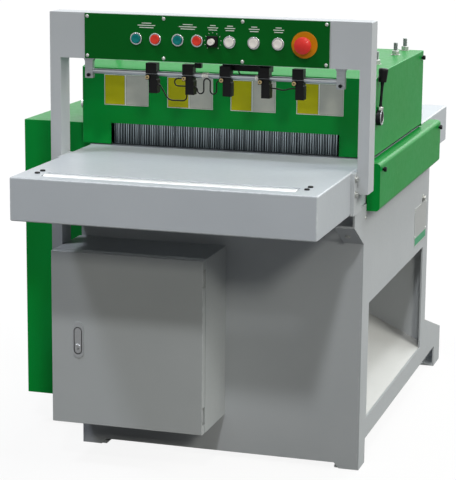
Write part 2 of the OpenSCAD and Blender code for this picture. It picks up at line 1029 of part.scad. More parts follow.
module estop_ring() {
    color(yellow)
        difference() {
            union() {
                bar_y(estop_x, [panel_y - estop_disc_t, panel_y], control_z, estop_disc_r);
                bar_y(estop_x, [panel_y - estop_disc_t - estop_collar_h, panel_y], control_z, estop_collar_r);
            }
            bar_y(estop_x, [panel_y - estop_disc_t - estop_collar_h - cut, panel_y + cut],
                control_z, estop_stem_r + run_fit);
        }
}

// Pressed straight in: stem with the spigot that the head turns on
module estop_stem() {
    color(black) {
        bar_y(estop_x, [estop_front, panel_y + plunger_l], control_z, estop_stem_r);
        bar_y(estop_x, [estop_front - estop_spigot_l, estop_front], control_z, estop_spigot_r);
    }
}

// Mushroom head, turned to release
module estop_head() {
    rim = 6;
    crown = 0.55;
    bevel = 1;
    color(red)
        turned_y(estop_x, estop_front, control_z)
            difference() {
                union() {
                    translate([0, loose_fit])
                        square([estop_head_r - bevel, rim]);
                    translate([0, bevel])
                        square([estop_head_r, rim - bevel]);
                    intersection() {
                        translate([0, rim])
                            square([estop_head_r, estop_head_h - rim]);
                        translate([0, estop_head_h - estop_head_r / crown])
                            circle(estop_head_r / crown);
                    }
                }
                square([estop_spigot_r + run_fit, estop_spigot_l + loose_fit]);
            }
}

// Rail with its two hangers, which widen towards the beam
module laser_rail() {
    half = laser_rail_l / 2;
    color(steel) {
        bar_x([rail_x - half, rail_x + half], laser_y, laser_z, rail_r);
        for (s = [-1, 1])
            translate([rail_x + s * (half + hanger_w / 2), 0, beam_z0])
                along_y([laser_y - hanger_d / 2, laser_y + hanger_d / 2])
                    polygon([
                        [-hanger_w / 2 - hanger_flare, 0],
                        [-hanger_w / 2, -hanger_taper],
                        [-hanger_w / 2, -rail_drop - hanger_tail],
                        [hanger_w / 2, -rail_drop - hanger_tail],
                        [hanger_w / 2, -hanger_taper],
                        [hanger_w / 2 + hanger_flare, 0]
                    ]);
    }
}

// Slit clamps on the rail with their thumb screws, each with a laser below that looks down
module laser_clamps() {
    depth = [laser_y - clamp_d / 2, laser_y + clamp_d / 2];
    waist = laser_z - clamp_below;
    color(black)
        for (x = clamp_x) {
            laser_x = x + laser_shift;
            difference() {
                block([x - clamp_side, x + clamp_side], depth, [waist, laser_z + clamp_above]);
                bar_x([x - clamp_w, x + clamp_w], laser_y, laser_z, rail_r + run_fit);
                block([x - clamp_w, x + clamp_w], [laser_y - clamp_d, laser_y],
                    [laser_z - clamp_slit / 2, laser_z + clamp_slit / 2]);
            }
            difference() {
                block([laser_x - laser_w / 2, laser_x + laser_w / 2], depth, [clamp_foot, waist + cut]);
                bar_z(laser_x, laser_y, [clamp_foot - cut, clamp_foot + lens_deep], lens_r);
            }
            bar_y(x - clamp_side / 2, [depth[0] - thumb_l, depth[0] + cut], (laser_z + waist) / 2, thumb_r);
        }
}

// Supply under the beam behind the rail, and a clip that holds the leads
module laser_supply() {
    color(black) {
        block(supply_x, supply_y, [supply_floor, beam_z0]);
        block(clip_x, clip_y, [beam_z0 - clip_h, beam_z0]);
    }
}

// Leads: clamp, side and place of the start, heading, straights with their bends, and the end
lead_hang = [
    [[0, 1, laser_out + lead_gap, -24], 0, [[0, -60, 10], [25.4, 60, 20], [24.3, 90, 10.5]],
        [1, -1, 11, clamp_above - clamp_h - lead_gap]],
    [[1, -1, laser_in - lead_gap, -26], 180, [[18, -180, 9]], [1, -1, -lead_gap, -8]],
    [[1, 1, laser_out + lead_gap, -26], 0, [[0, -90, 8], [0, 180, 8], [20.5, -180, 8], [20, 180, 8], [16, -60, 9]],
        [2, -1, -lead_gap, -8]],
    [[4, -1, laser_in - lead_gap, -20], 180, [[8, 18, 25], [6, -36, 30], [0, 18, 25]],
        [3, 1, laser_out + lead_gap, -20]]
];
sag_r = 8.2;
sag_start = [loop_x, loop_y, supply_floor - lead_gap];
sag_end = sag_start + [loop_w, 0, 0];
function clamp_place(q) = [clamp_x[q[0]] + q[1] * clamp_side + q[2], lead_y, laser_z + q[3]];
function ahead(a) = [cos(a), 0, sin(a)];
function bend_points(p, a, moves, i = 0) = i == len(moves) ? [] : let (
    m = moves[i],
    turn = m[1] / bend_steps,
    r = sign(turn) * m[2],
    centre = p + m[0] * ahead(a) + r * ahead(a + 90),
    arc = [for (k = [m[0] > 0 ? 0 : 1 : bend_steps]) centre - r * ahead(a + turn * k + 90)]
) concat(arc, bend_points(arc[len(arc) - 1], a + m[1], moves, i + 1));
function lead_route(start, a, moves, end) = concat([start], bend_points(start, a, moves), [end]);
lead_routes = concat(
    [for (h = lead_hang) lead_route(clamp_place(h[0]), h[1], h[2], clamp_place(h[3]))],
    [lead_route(sag_start, -90, [[lead_gap, 90, sag_r], [loop_w - 2 * sag_r, 90, sag_r]], sag_end)]
);

function unit(v) = v / norm(v);
function ring_side(d) = unit(cross(d, abs(d[1]) < 0.9 ? [0, 1, 0] : [1, 0, 0]));
function ring(p, d, r, sides) = let (u = ring_side(d), v = cross(d, u))
    [for (k = [0 : sides - 1]) p + r * (u * cos(360 * k / sides) + v * sin(360 * k / sides))];
function heading(q, i) = unit(q[min(i + 1, len(q) - 1)] - q[max(i - 1, 0)]);

// A tube swept along a route
module lead_tube(route) {
    n = len(route);
    s = lead_sides;
    polyhedron(
        points = [for (i = [0 : n - 1]) each ring(route[i], heading(route, i), lead_r, s)],
        faces = concat(
            [[for (k = [0 : s - 1]) k]],
            [for (i = [0 : n - 2], k = [0 : s - 1])
                [i * s + k, (i + 1) * s + k, (i + 1) * s + (k + 1) % s, i * s + (k + 1) % s]],
            [[for (k = [s - 1 : -1 : 0]) (n - 1) * s + k]]
        )
    );
}

module laser_leads() {
    color(black)
        for (route = lead_routes)
            lead_tube(route);
}

// Sheet hood over the saw box, open below, with a feed slot at each end
module saw_hood() {
    color(green)
        difference() {
            block([hood_left, hood_half], [hood_y0, saw_y1], [table_h, hood_z]);
            block(
                [hood_left + hood_t, hood_half - hood_t],
                [hood_y0 + hood_t, saw_y1 - hood_t],
                [table_h - cut, hood_z - hood_t]
            );
            block([hood_left - cut, hood_half + cut], [hood_y0 + hood_t, saw_y1 - hood_t],
                [table_h - cut, table_h + hood_lift]);
            block([slot_lo, slot_hi], [hood_y0 - cut, saw_y1 + cut], [table_h - cut, table_h + slot_h]);
            bar_x([hood_left - cut, hood_half + cut], shaft_y, shaft_z, shaft_r + run_fit);
            for (s = [-1, 1], y = [front_roller_y, rear_roller_y], k = [-1, 1])
                bar_z(s * stud_x, y + k * stud_pitch / 2, [hood_z - hood_t - cut, hood_z + cut],
                    stud_r + loose_fit);
        }
}

// A waisted knob on a face that looks along +X
module knob_x(x, y, z) {
    waist = 0.6;
    foot = 3;
    translate([x, y, z])
        rotate([0, 90, 0])
            rotate_extrude()
                difference() {
                    square([knob_r, knob_h]);
                    translate([knob_r * waist, -cut])
                        square([knob_r, foot + cut]);
                }
}

module cover_knobs() {
    side_x = half_w + side_cover_w;
    color(black) {
        for (y = [side_cover_y0 + knob_inset[0], side_cover_y1 - knob_inset[0]])
            knob_x(side_x, y, side_cover_top - knob_inset[1]);
        knob_x(hood_half, saw_y1 - knob_inset[0], hood_z - knob_inset[1]);
    }
}

// A section in X and Z that stands on a wall and is round at its two outer corners
module rounded_section(w, h, r) {
    square([w - r, h]);
    translate([0, r])
        square([w, h - 2 * r]);
    for (z = [r, h - r])
        translate([w - r, z])
            circle(r);
}

// Flat cover over the feed chain, open towards the wall
module side_cover() {
    low = side_cover_top - side_cover_h;
    color(green)
        difference() {
            translate([half_w, 0, low])
                along_y([side_cover_y0, side_cover_y1])
                    rounded_section(side_cover_w, side_cover_h, side_cover_corner);
            translate([half_w - cut, 0, low + cover_t])
                along_y([side_cover_y0 + cover_t, side_cover_y1 - cover_t])
                    rounded_section(side_cover_w - cover_t + cut, side_cover_h - 2 * cover_t,
                        side_cover_corner - cover_t);
        }
}

// Tall cover over the belts, open towards the wall and set back beside the hood
module belt_cover() {
    inner_x = hood_left - hood_clear;
    color(green)
        difference() {
            block([belt_cover_x, -half_w], [belt_cover_y0, belt_cover_y1], [belt_cover_z, belt_cover_top]);
            block([inner_x, -half_w + cut], [belt_cover_y0 - cut, belt_cover_y1 + cut],
                [belt_cover_neck, belt_cover_top + cut]);
            block(
                [belt_cover_x + cover_t, inner_x - cover_t],
                [belt_cover_y0 + cover_t, belt_cover_y1 - cover_t],
                [belt_cover_z + cover_t, belt_cover_top - cover_t]
            );
            block(
                [inner_x - 2 * cover_t, -half_w + cut],
                [belt_cover_y0 + cover_t, belt_cover_y1 - cover_t],
                [belt_cover_z + cover_t, belt_cover_neck - cover_t]
            );
        }
}

// Shaft that carries the fingers, with a key along it that lifts them all
module finger_shaft() {
    color(steel) {
        bar_x([hood_left - collar_h, hood_half + hub_gap + hub_h], shaft_y, shaft_z, shaft_r);
        bar_x([hood_left - collar_h, hood_left - loose_fit], shaft_y, shaft_z, eye_r);
        block([slot_lo, slot_hi], [shaft_y - key_w / 2, shaft_y + key_w / 2],
            [shaft_z, shaft_z + shaft_r + key_out]);
    }
}

// One finger in Y and Z about its eye; the eye's pocket leaves the key its free swing
module finger_outline() {
    key_half = asin((key_w / 2 + loose_fit) / (shaft_r + key_out));
    pocket_r = shaft_r + key_out + loose_fit;
    far = 2 * pocket_r;
    middle = 90 - finger_swing / 2;
    spread = finger_swing / 2 + key_half + key_slack;
    difference() {
        union() {
            circle(eye_r);
            polygon([
                [-finger_w / 2, 0],
                [-finger_w / 2, -finger_l],
                [finger_w / 2, -finger_l + claw],
                [finger_w / 2, 0]
            ]);
        }
        circle(shaft_r + run_fit);
        intersection() {
            circle(pocket_r);
            polygon([
                [0, 0],
                [far * cos(middle - spread), far * sin(middle - spread)],
                [far * cos(middle), far * sin(middle)],
                [far * cos(middle + spread), far * sin(middle + spread)]
            ]);
        }
    }
}

module kickback_fingers() {
    color(steel)
        for (i = [0 : finger_n - 1])
            translate([finger_first + i * finger_pitch - finger_t / 2, shaft_y, shaft_z])
                rotate([finger_lean * sin(finger_step * i), 0, 0])
                    along_x([0, finger_t])
                        finger_outline();
}

// Hub, leaning stem and tapered grip
module finger_lever() {
    hub_x = hood_half + hub_gap;
    color(dark_steel)
        difference() {
            union() {
                bar_x([hub_x, hub_x + hub_h], shaft_y, shaft_z, hub_r);
                translate([hub_x + hub_h / 2, shaft_y, shaft_z])
                    rotate([-lever_tilt, lever_lean, 0])
                        cylinder(h = lever_l - grip_l + cut, r = lever_stem_r);
            }
            bar_x([hub_x - cut, hub_x + hub_h + cut], shaft_y, shaft_z, shaft_r + run_fit);
        }
    color(black)
        translate([hub_x + hub_h / 2, shaft_y, shaft_z])
            rotate([-lever_tilt, lever_lean, 0])
                translate([0, 0, lever_l - grip_l])
                    cylinder(h = grip_l, r1 = grip_r[0], r2 = grip_r[1]);
}

// Arbor with the sleeve and collars that clamp the blades
module saw_arbor() {
    color(dark_steel) {
        bar_x([arbor_end, bearing_x + bearing_w / 2 + arbor_tail], arbor_y, arbor_z, arbor_r);
        bar_x([-stack_half - collar_t, stack_half + collar_t], arbor_y, arbor_z, sleeve_r);
        for (x = [[-stack_half - collar_t, -stack_half], [stack_half, stack_half + collar_t]])
            bar_x(x, arbor_y, arbor_z, collar_r);
        for (i = [0 : blade_n - 2])
            bar_x([i * blade_pitch - stack_half + blade_t, (i + 1) * blade_pitch - stack_half],
                arbor_y, arbor_z, collar_r - collar_t);
    }
}

// A toothed disc: each tooth has a steep face, a short land and a sloping back
module blade_outline() {
    step = 360 / blade_teeth;
    gullet = 11;
    land = 0.3;
    back = 0.55;
    root = 0.88;
    polygon([
        for (i = [0 : blade_teeth - 1]) each [
            blade_r * [cos(i * step), sin(i * step)],
            (blade_r - 1) * [cos((i + land) * step), sin((i + land) * step)],
            (blade_r - gullet) * [cos((i + back) * step), sin((i + back) * step)],
            (blade_r - gullet) * [cos((i + root) * step), sin((i + root) * step)]
        ]
    ]);
}

module saw_blades() {
    color(steel)
        for (i = [0 : blade_n - 1])
            translate([i * blade_pitch - stack_half, arbor_y, arbor_z])
                along_x([0, blade_t])
                    difference() {
                        blade_outline();
                        circle(sleeve_r + run_fit);
                    }
}

// A grooved pulley turned about X, with one groove for each belt
module grooved_pulley(r, bore) {
    rotate([0, 90, 0])
        rotate_extrude()
            difference() {
                translate([bore, -pulley_w / 2])
                    square([r - bore, pulley_w]);
                for (i = [0 : belt_n - 1])
                    translate([r - groove_t, (i - (belt_n - 1) / 2) * belt_pitch - belt_w / 2 - loose_fit])
                        square([groove_t + cut, belt_w + 2 * loose_fit]);
            }
}

module arbor_pulley() {
    color(dark_steel)
        translate([pulley_x, arbor_y, arbor_z])
            grooved_pulley(arbor_pulley_r, arbor_r + run_fit);
}

// Pulley with the motor's shaft
module motor_pulley() {
    color(dark_steel) {
        translate([pulley_x, arbor_y, motor_h])
            grooved_pulley(motor_pulley_r, motor_shaft_r);
        bar_x([pulley_x - pulley_w / 2, -inner_w + flange_t], arbor_y, motor_h, motor_shaft_r);
    }
}

// The shape inside a tight belt around two pulleys, one above the other
module belt_outline(z0, r0, z1, r1) {
    lean = asin((r0 - r1) / (z1 - z0));
    translate([0, z0])
        circle(r0);
    translate([0, z1])
        circle(r1);
    polygon([
        [r0 * cos(lean), z0 + r0 * sin(lean)],
        [r1 * cos(lean), z1 + r1 * sin(lean)],
        [-r1 * cos(lean), z1 + r1 * sin(lean)],
        [-r0 * cos(lean), z0 + r0 * sin(lean)]
    ]);
}

module drive_belts() {
    low = motor_pulley_r - groove_t + loose_fit;
    high = arbor_pulley_r - groove_t + loose_fit;
    color(black)
        for (i = [0 : belt_n - 1])
            translate([pulley_x + (i - (belt_n - 1) / 2) * belt_pitch - belt_w / 2, arbor_y, 0])
                along_x([0, belt_w])
                    difference() {
                        belt_outline(motor_h, low + belt_t, arbor_z, high + belt_t);
                        belt_outline(motor_h, low, arbor_z, high);
                    }
}

// Section of the motor's body, with fins that stay under its fan cover
module finned_section() {
    circle(motor_r - fin_h);
    for (i = [0 : fin_n - 1])
        rotate(360 / fin_n * i)
            translate([0, -fin_t / 2])
                square([motor_r - fin_in, fin_t]);
}

// Finned motor on a flange against the left wall, with its fan cover and terminal box
module main_motor() {
    x0 = -inner_w;
    x1 = x0 + motor_l;
    box_set = 70;
    box_w = 90;
    box_h = 38;
    color(grey)
        difference() {
            union() {
                bar_x([x0, x0 + flange_t], arbor_y, motor_h, flange_r);
                bar_x([x1 - fan_l, x1], arbor_y, motor_h, motor_r);
                bar_x([x0, x0 + 2 * flange_t], arbor_y, motor_h, motor_r);
                translate([0, arbor_y, motor_h])
                    along_x([x0 + flange_t, x1 - fan_l / 2])
                        finned_section();
                block([x0 + box_set, x0 + box_set + box_w], [arbor_y - box_w / 2, arbor_y + box_w / 2],
                    [motor_h, motor_h + motor_r + box_h]);
            }
            bar_x([x0 - cut, x0 + 2 * flange_t], arbor_y, motor_h, motor_shaft_r + run_fit);
        }
}

// Arbor bearing blocks and the feed rollers' flange bearings, flat under the bed
module bearing_blocks() {
    color(dark_steel) {
        for (s = [-1, 1])
            difference() {
                union() {
                    block([s * bearing_x - bearing_w / 2, s * bearing_x + bearing_w / 2],
                        [arbor_y - bearing_half, arbor_y + bearing_half], [arbor_z, bed_z]);
                    bar_x([s * bearing_x - bearing_w / 2, s * bearing_x + bearing_w / 2],
                        arbor_y, arbor_z, bearing_drop);
                }
                bar_x([s * bearing_x - bearing_w, s * bearing_x + bearing_w],
                    arbor_y, arbor_z, arbor_r + run_fit);
            }
        for (x = [[inner_w - flange_bearing_t, inner_w], [-inner_w, -inner_w + flange_bearing_t]],
            y = [front_roller_y, rear_roller_y])
            difference() {
                bar_x(x, y, feed_z, flange_bearing_r);
                bar_x([x[0] - cut, x[1] + cut], y, feed_z, axle_r + run_fit);
                block([x[0] - cut, x[1] + cut], [y - flange_bearing_r, y + flange_bearing_r],
                    [bed_z, table_h]);
            }
    }
}

// A lower feed roller with its axle and its sprockets
module feed_roller(y, driven) {
    right_end = sprocket_x + sprocket_w + axle_tail;
    left_end = driven ? -right_end : -half_w;
    bar_x([-feed_half, feed_half], y, feed_z, feed_r);
    bar_x([left_end, right_end], y, feed_z, axle_r);
    bar_x([sprocket_x, sprocket_x + sprocket_w], y, feed_z, sprocket_r);
    if (driven)
        bar_x([-sprocket_x - sprocket_w, -sprocket_x], y, feed_z, sprocket_r);
}

module feed_roller_front() {
    color(steel)
        feed_roller(front_roller_y, false);
}

module feed_roller_rear() {
    color(steel)
        feed_roller(rear_roller_y, true);
}

// Two chain loops: roller to roller on the right, gearmotor to roller on the left
module feed_chain() {
    inside = sprocket_r + loose_fit;
    side = (chain_w - sprocket_w) / 2;
    color(dark_steel) {
        along_x([sprocket_x - side, sprocket_x + sprocket_w + side])
            difference() {
                chain_outline(front_roller_y, feed_z, rear_roller_y, feed_z, inside + chain_t);
                chain_outline(front_roller_y, feed_z, rear_roller_y, feed_z, inside);
            }
        along_x([-sprocket_x - sprocket_w - side, -sprocket_x + side])
            difference() {
                chain_outline(gear_y, gear_z, rear_roller_y, feed_z, inside + chain_t);
                chain_outline(gear_y, gear_z, rear_roller_y, feed_z, inside);
            }
    }
}

// The shape that a chain encloses around two equal sprockets
module chain_outline(y0, z0, y1, z1, r) {
    d = [y1 - y0, z1 - z0];
    translate([y0, z0])
        circle(r);
    translate([y1, z1])
        circle(r);
    translate([y0, z0])
        rotate(atan2(d[1], d[0]))
            translate([0, -r])
                square([norm(d), 2 * r]);
}

// Gearbox on the left wall with its motor
module feed_gearmotor() {
    x0 = -inner_w;
    color(grey)
        difference() {
            union() {
                block([x0, x0 + gearbox[0]], [gear_y - gearbox[1] / 2, gear_y + gearbox[1] / 2],
                    [gear_z - gearbox[2] / 2, gear_z + gearbox[2] / 2]);
                bar_x([x0, x0 + gearbox[0] + gear_motor_l], gear_y, gear_z, gear_motor_r);
            }
            bar_x([x0 - cut, x0 + gearbox[0] / 2], gear_y, gear_z, gear_shaft_r + run_fit);
        }
}

module drive_sprocket() {
    color(dark_steel) {
        bar_x([-sprocket_x - sprocket_w, -inner_w + gearbox[0] / 2 - 1], gear_y, gear_z, gear_shaft_r);
        bar_x([-sprocket_x - sprocket_w, -sprocket_x], gear_y, gear_z, sprocket_r);
    }
}

// Guide studs from the hood's top, with a stop nut below each carrier and nuts at the sheet
module pressure_studs() {
    stop_z = press_z - block_below;
    color(steel)
        for (s = [-1, 1], y = [front_roller_y, rear_roller_y], k = [-1, 1])
            translate([s * stud_x, y + k * stud_pitch / 2, 0]) {
                bar_z(0, 0, [stop_z - nut_h, hood_z + nut_h + stud_out], stud_r);
                bar_z(0, 0, [hood_z, hood_z + washer_t], nut_r + washer_lip);
                for (z = [stop_z - nut_h, hood_z - hood_t - nut_h, hood_z + washer_t])
                    translate([0, 0, z])
                        cylinder(h = nut_h, r = nut_r, $fn = 6);
            }
}

// A carrier: two end blocks that slide on the studs, joined by a bridge above the roller
module pressure_carrier(y) {
    half_d = stud_pitch / 2 + block_over;
    color(dark_steel)
        difference() {
            union() {
                for (s = [-1, 1])
                    block([s * stud_x - block_w / 2, s * stud_x + block_w / 2], [y - half_d, y + half_d],
                        [press_z - block_below, block_top]);
                block([-stud_x, stud_x], [y - bridge_d / 2, y + bridge_d / 2],
                    [block_top - bridge_h, block_top]);
            }
            for (s = [-1, 1]) {
                for (k = [-1, 1])
                    bar_z(s * stud_x, y + k * stud_pitch / 2, [press_z - block_below - cut, block_top + cut],
                        stud_r + run_fit);
                bar_x([s * stud_x - block_w, s * stud_x + block_w], y, press_z, press_axle_r + run_fit);
            }
        }
}

module pressure_carrier_front() {
    pressure_carrier(front_roller_y);
}

module pressure_carrier_rear() {
    pressure_carrier(rear_roller_y);
}

module pressure_roller(y) {
    end = stud_x + block_w / 2;
    color(steel) {
        bar_x([-feed_half, feed_half], y, press_z, press_r);
        bar_x([-end, end], y, press_z, press_axle_r);
    }
}

module pressure_roller_front() {
    pressure_roller(front_roller_y);
}

module pressure_roller_rear() {
    pressure_roller(rear_roller_y);
}

// Heights of the two door hinges
hinge_z = [cab_z + hinge_inset, cab_z1 - hinge_inset];

// Folded box with a front frame, the hinge lugs with their pins, and a cable gland below
module cabinet_box() {
    color(grey)
        difference() {
            union() {
                difference() {
                    block([cab_x0, cab_x1], [box_y0, front_y], [cab_z, cab_z1]);
                    block([cab_x0 + cab_t, cab_x1 - cab_t], [box_y0 + cab_t, front_y - cab_t],
                        [cab_z + cab_t, cab_z1 - cab_t]);
                    block([cab_x0 + frame_w, cab_x1 - frame_w], [box_y0 - cut, box_y0 + cab_t + cut],
                        [cab_z + frame_w, cab_z1 - frame_w]);
                }
                for (z = hinge_z) {
                    bar_z(pin_x, pin_y, [z - hinge_half, z + hinge_half], pin_r);
                    for (k = [-1, 1])
                        hinge_lug(k > 0 ? z + hinge_half - lug_t : z - hinge_half);
                }
                bar_z(gland_x, gland_y, [cab_z - gland_l, cab_z + cab_t], gland_r);
            }
            bar_z(gland_x, gland_y, [cab_z - gland_l - cut, cab_z + cab_t + cut], gland_bore_r);
        }
}

// A lug from the box's frame to the hinge pin
module hinge_lug(z) {
    translate([0, 0, z])
        linear_extrude(lug_t) {
            translate([pin_x, pin_y])
                circle(pin_r);
            translate([pin_x - lug_back, pin_y - pin_r])
                square([lug_back, 2 * pin_r]);
            translate([pin_x - lug_back, pin_y - pin_r])
                square([pin_r, box_y0 + cab_t - pin_y + pin_r]);
        }
}

// Folded pan with the hinge knuckles, notches for the lugs and an opening for the lock
module cabinet_door() {
    y1 = cab_y0 + door_d;
    hole_w = lock_w - 2 * lock_lip;
    color(grey)
        difference() {
            union() {
                difference() {
                    block([cab_x0, cab_x1], [cab_y0, y1], [cab_z, cab_z1]);
                    block([cab_x0 + cab_t, cab_x1 - cab_t], [cab_y0 + cab_t, y1 + cut],
                        [cab_z + cab_t, cab_z1 - cab_t]);
                    for (z = hinge_z)
                        block([pin_x - 2 * knuckle_r, cab_x1 + cut], [cab_y0 + cab_t, y1 + cut],
                            [z - hinge_half - hinge_slack, z + hinge_half + hinge_slack]);
                }
                for (z = hinge_z) {
                    bar_z(pin_x, pin_y, [z - knuckle_h / 2, z + knuckle_h / 2], knuckle_r);
                    block([pin_x - knuckle_r, pin_x + knuckle_r], [cab_y0 + cab_t, pin_y],
                        [z - knuckle_h / 2, z + knuckle_h / 2]);
                }
            }
            for (z = hinge_z)
                bar_z(pin_x, pin_y, [z - knuckle_h, z + knuckle_h], pin_r + run_fit);
            translate([lock_x, 0, lock_z])
                along_y([cab_y0 - cut, cab_y0 + cab_t + cut])
                    oblong(hole_w, lock_l - 2 * lock_lip);
        }
}

// Mounting plate on pads, with rails, switchgear and the feed drive
module contactor_plate() {
    plate_y = front_y - cab_t - tray_pad;
    face_y = plate_y - tray_t;
    x = [cab_x0 + tray_inset, cab_x1 - tray_inset];
    z = [cab_z + tray_inset, cab_z1 - tray_inset];
    color(pale_grey) {
        block(x, [face_y, plate_y], z);
        for (px = [x[0], x[1] - tray_pad], pz = [z[0], z[1] - tray_pad])
            block([px, px + tray_pad], [plate_y, front_y - cab_t], [pz, pz + tray_pad]);
        for (i = [0, 1])
            block([x[0] + tray_pad, x[1] - tray_pad], [face_y - din_t, face_y],
                [z[1] - din_drop - i * din_pitch - din_w, z[1] - din_drop - i * din_pitch]);
    }
    color(black) {
        for (i = [0 : unit_n - 1])
            translate([x[0] + 2 * tray_pad + i * (unit_size[0] + unit_gap), face_y - din_t - unit_size[1],
                z[1] - din_drop - din_w / 2 - unit_size[2] / 2])
                cube(unit_size);
        translate([x[1] - tray_pad - drive_size[0], face_y - din_t - drive_size[1],
            z[1] - din_drop - din_pitch - din_w / 2 - drive_size[2] / 2])
            cube(drive_size);
    }
}

// A slice of the lock's oblong filling, in depth and height
module lock_filling(depth, height) {
    intersection() {
        translate([lock_x, 0, pocket_z])
            along_y(depth)
                oblong(pocket_w - 2 * handle_gap, pocket_l - 2 * handle_gap);
        block([lock_x - lock_w, lock_x + lock_w], [depth[0] - cut, depth[1] + cut], height);
    }
}

// Flush oblong case in the door, with a pocket for the handle and its button
module lock_case() {
    hole_w = lock_w - 2 * lock_lip - 2 * loose_fit;
    hole_l = lock_l - 2 * lock_lip - 2 * loose_fit;
    color(dark_steel)
        difference() {
            union() {
                translate([lock_x, 0, lock_z])
                    along_y([lock_front, cab_y0])
                        oblong(lock_w, lock_l);
                translate([lock_x, 0, lock_z])
                    along_y([cab_y0 - cut, cab_y0 + lock_deep])
                        oblong(hole_w, hole_l);
            }
            translate([lock_x, 0, pocket_z])
                along_y([lock_front - cut, lock_front + pocket_deep])
                    oblong(pocket_w, pocket_l);
            bar_x([lock_x - handle_pin_l / 2 - loose_fit, lock_x + handle_pin_l / 2 + loose_fit],
                lock_front + handle_t / 2, handle_pin_z, handle_pin_r + run_fit);
        }
}

// Handle that lies in the pocket and swings out about a pin near its top
module lock_handle() {
    color(steel) {
        lock_filling([lock_front, lock_front + handle_t], [lock_split + handle_gap / 2, lock_z + lock_l]);
        bar_x([lock_x - handle_pin_l / 2, lock_x + handle_pin_l / 2],
            lock_front + handle_t / 2, handle_pin_z, handle_pin_r);
    }
}

// Button that fills the pocket's lower end, with its keyhole
module lock_button() {
    color(steel)
        difference() {
            lock_filling([lock_front, lock_front + lock_button_l],
                [pocket_z - pocket_l, lock_split - handle_gap / 2]);
            bar_y(lock_x, [lock_front - cut, lock_front + keyhole_deep],
                lock_split - pocket_w / 2, keyhole_r);
        }
}

side_walls();
end_panels();
foot_plates();
sawdust_chute();
bed_plate();
table_brackets();
infeed_table();
infeed_roller();
roller_blocks();
outfeed_table();
gantry_frame();
frame_bolts();
control_panel();
button_bezels();
saw_start_button();
saw_stop_button();
feed_start_button();
feed_stop_button();
reset_button();
laser_button();
lit_button();
dial_body();
dial_knob();
estop_ring();
estop_stem();
estop_head();
laser_rail();
laser_clamps();
laser_supply();
laser_leads();
saw_hood();
cover_knobs();
side_cover();
belt_cover();
finger_shaft();
kickback_fingers();
finger_lever();
saw_arbor();
saw_blades();
arbor_pulley();
motor_pulley();
drive_belts();
main_motor();
bearing_blocks();
feed_roller_front();
feed_roller_rear();
feed_chain();
feed_gearmotor();
drive_sprocket();
pressure_studs();
pressure_carrier_front();
pressure_carrier_rear();
pressure_roller_front();
pressure_roller_rear();
cabinet_box();
cabinet_door();
contactor_plate();
lock_case();
lock_handle();
lock_button();
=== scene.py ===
# %% [markdown]
# # A multi rip saw, dressed in Blender
# The solids of this floor-standing saw come from CAD: walls, tables, hood, rollers, fingers, cabinet.
# This lesson gives them soft folds, real finishes and the small fittings that a workshop would notice.
# Everything is in metres and already in place, so no piece is ever moved to fit.

# %% Load the frame
import json
import math

import bmesh
import bpy
from mathutils import Matrix, Vector

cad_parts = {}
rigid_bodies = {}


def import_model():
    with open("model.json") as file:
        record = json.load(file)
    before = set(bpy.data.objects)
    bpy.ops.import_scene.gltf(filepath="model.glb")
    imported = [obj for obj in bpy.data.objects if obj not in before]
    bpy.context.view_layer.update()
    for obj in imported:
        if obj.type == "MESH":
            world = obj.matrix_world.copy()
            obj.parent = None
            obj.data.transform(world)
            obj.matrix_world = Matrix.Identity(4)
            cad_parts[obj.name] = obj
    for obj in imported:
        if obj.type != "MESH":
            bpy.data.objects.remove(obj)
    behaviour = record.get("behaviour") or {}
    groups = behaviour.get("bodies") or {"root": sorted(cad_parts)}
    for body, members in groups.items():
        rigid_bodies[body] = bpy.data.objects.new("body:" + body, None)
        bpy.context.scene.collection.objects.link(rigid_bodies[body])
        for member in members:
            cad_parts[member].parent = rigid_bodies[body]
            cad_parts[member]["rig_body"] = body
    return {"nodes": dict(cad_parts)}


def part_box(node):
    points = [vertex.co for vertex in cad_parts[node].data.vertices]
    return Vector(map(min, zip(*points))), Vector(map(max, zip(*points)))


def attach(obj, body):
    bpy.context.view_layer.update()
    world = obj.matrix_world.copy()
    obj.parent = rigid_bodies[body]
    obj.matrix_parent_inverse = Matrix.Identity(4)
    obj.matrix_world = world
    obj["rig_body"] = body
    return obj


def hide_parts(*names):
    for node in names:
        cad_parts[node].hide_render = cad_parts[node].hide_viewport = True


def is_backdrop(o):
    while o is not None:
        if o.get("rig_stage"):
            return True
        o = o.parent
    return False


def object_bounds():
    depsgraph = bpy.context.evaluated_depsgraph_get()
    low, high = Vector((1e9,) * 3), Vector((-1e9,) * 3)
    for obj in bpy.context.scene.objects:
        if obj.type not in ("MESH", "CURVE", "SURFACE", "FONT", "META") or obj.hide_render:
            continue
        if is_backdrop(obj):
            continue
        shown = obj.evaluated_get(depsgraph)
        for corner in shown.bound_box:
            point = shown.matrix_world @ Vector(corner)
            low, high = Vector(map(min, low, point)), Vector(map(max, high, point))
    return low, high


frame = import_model()
solids = frame["nodes"]
scene = bpy.context.scene
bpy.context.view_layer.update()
MM = 0.001


# %% Objects
def new_object(name, data):
    """Puts new data into the scene as an object at the origin."""
    made = bpy.data.objects.new(name, data)
    scene.collection.objects.link(made)
    return made


# %% [markdown]
# ## The camera
# The photograph was taken from the front right, a little above the beam, with a long lens.
# A camera can be aimed by hand, but a matrix made from its three directions repeats the exact place.
# The picture is taller than wide, so the sensor width belongs to its height.

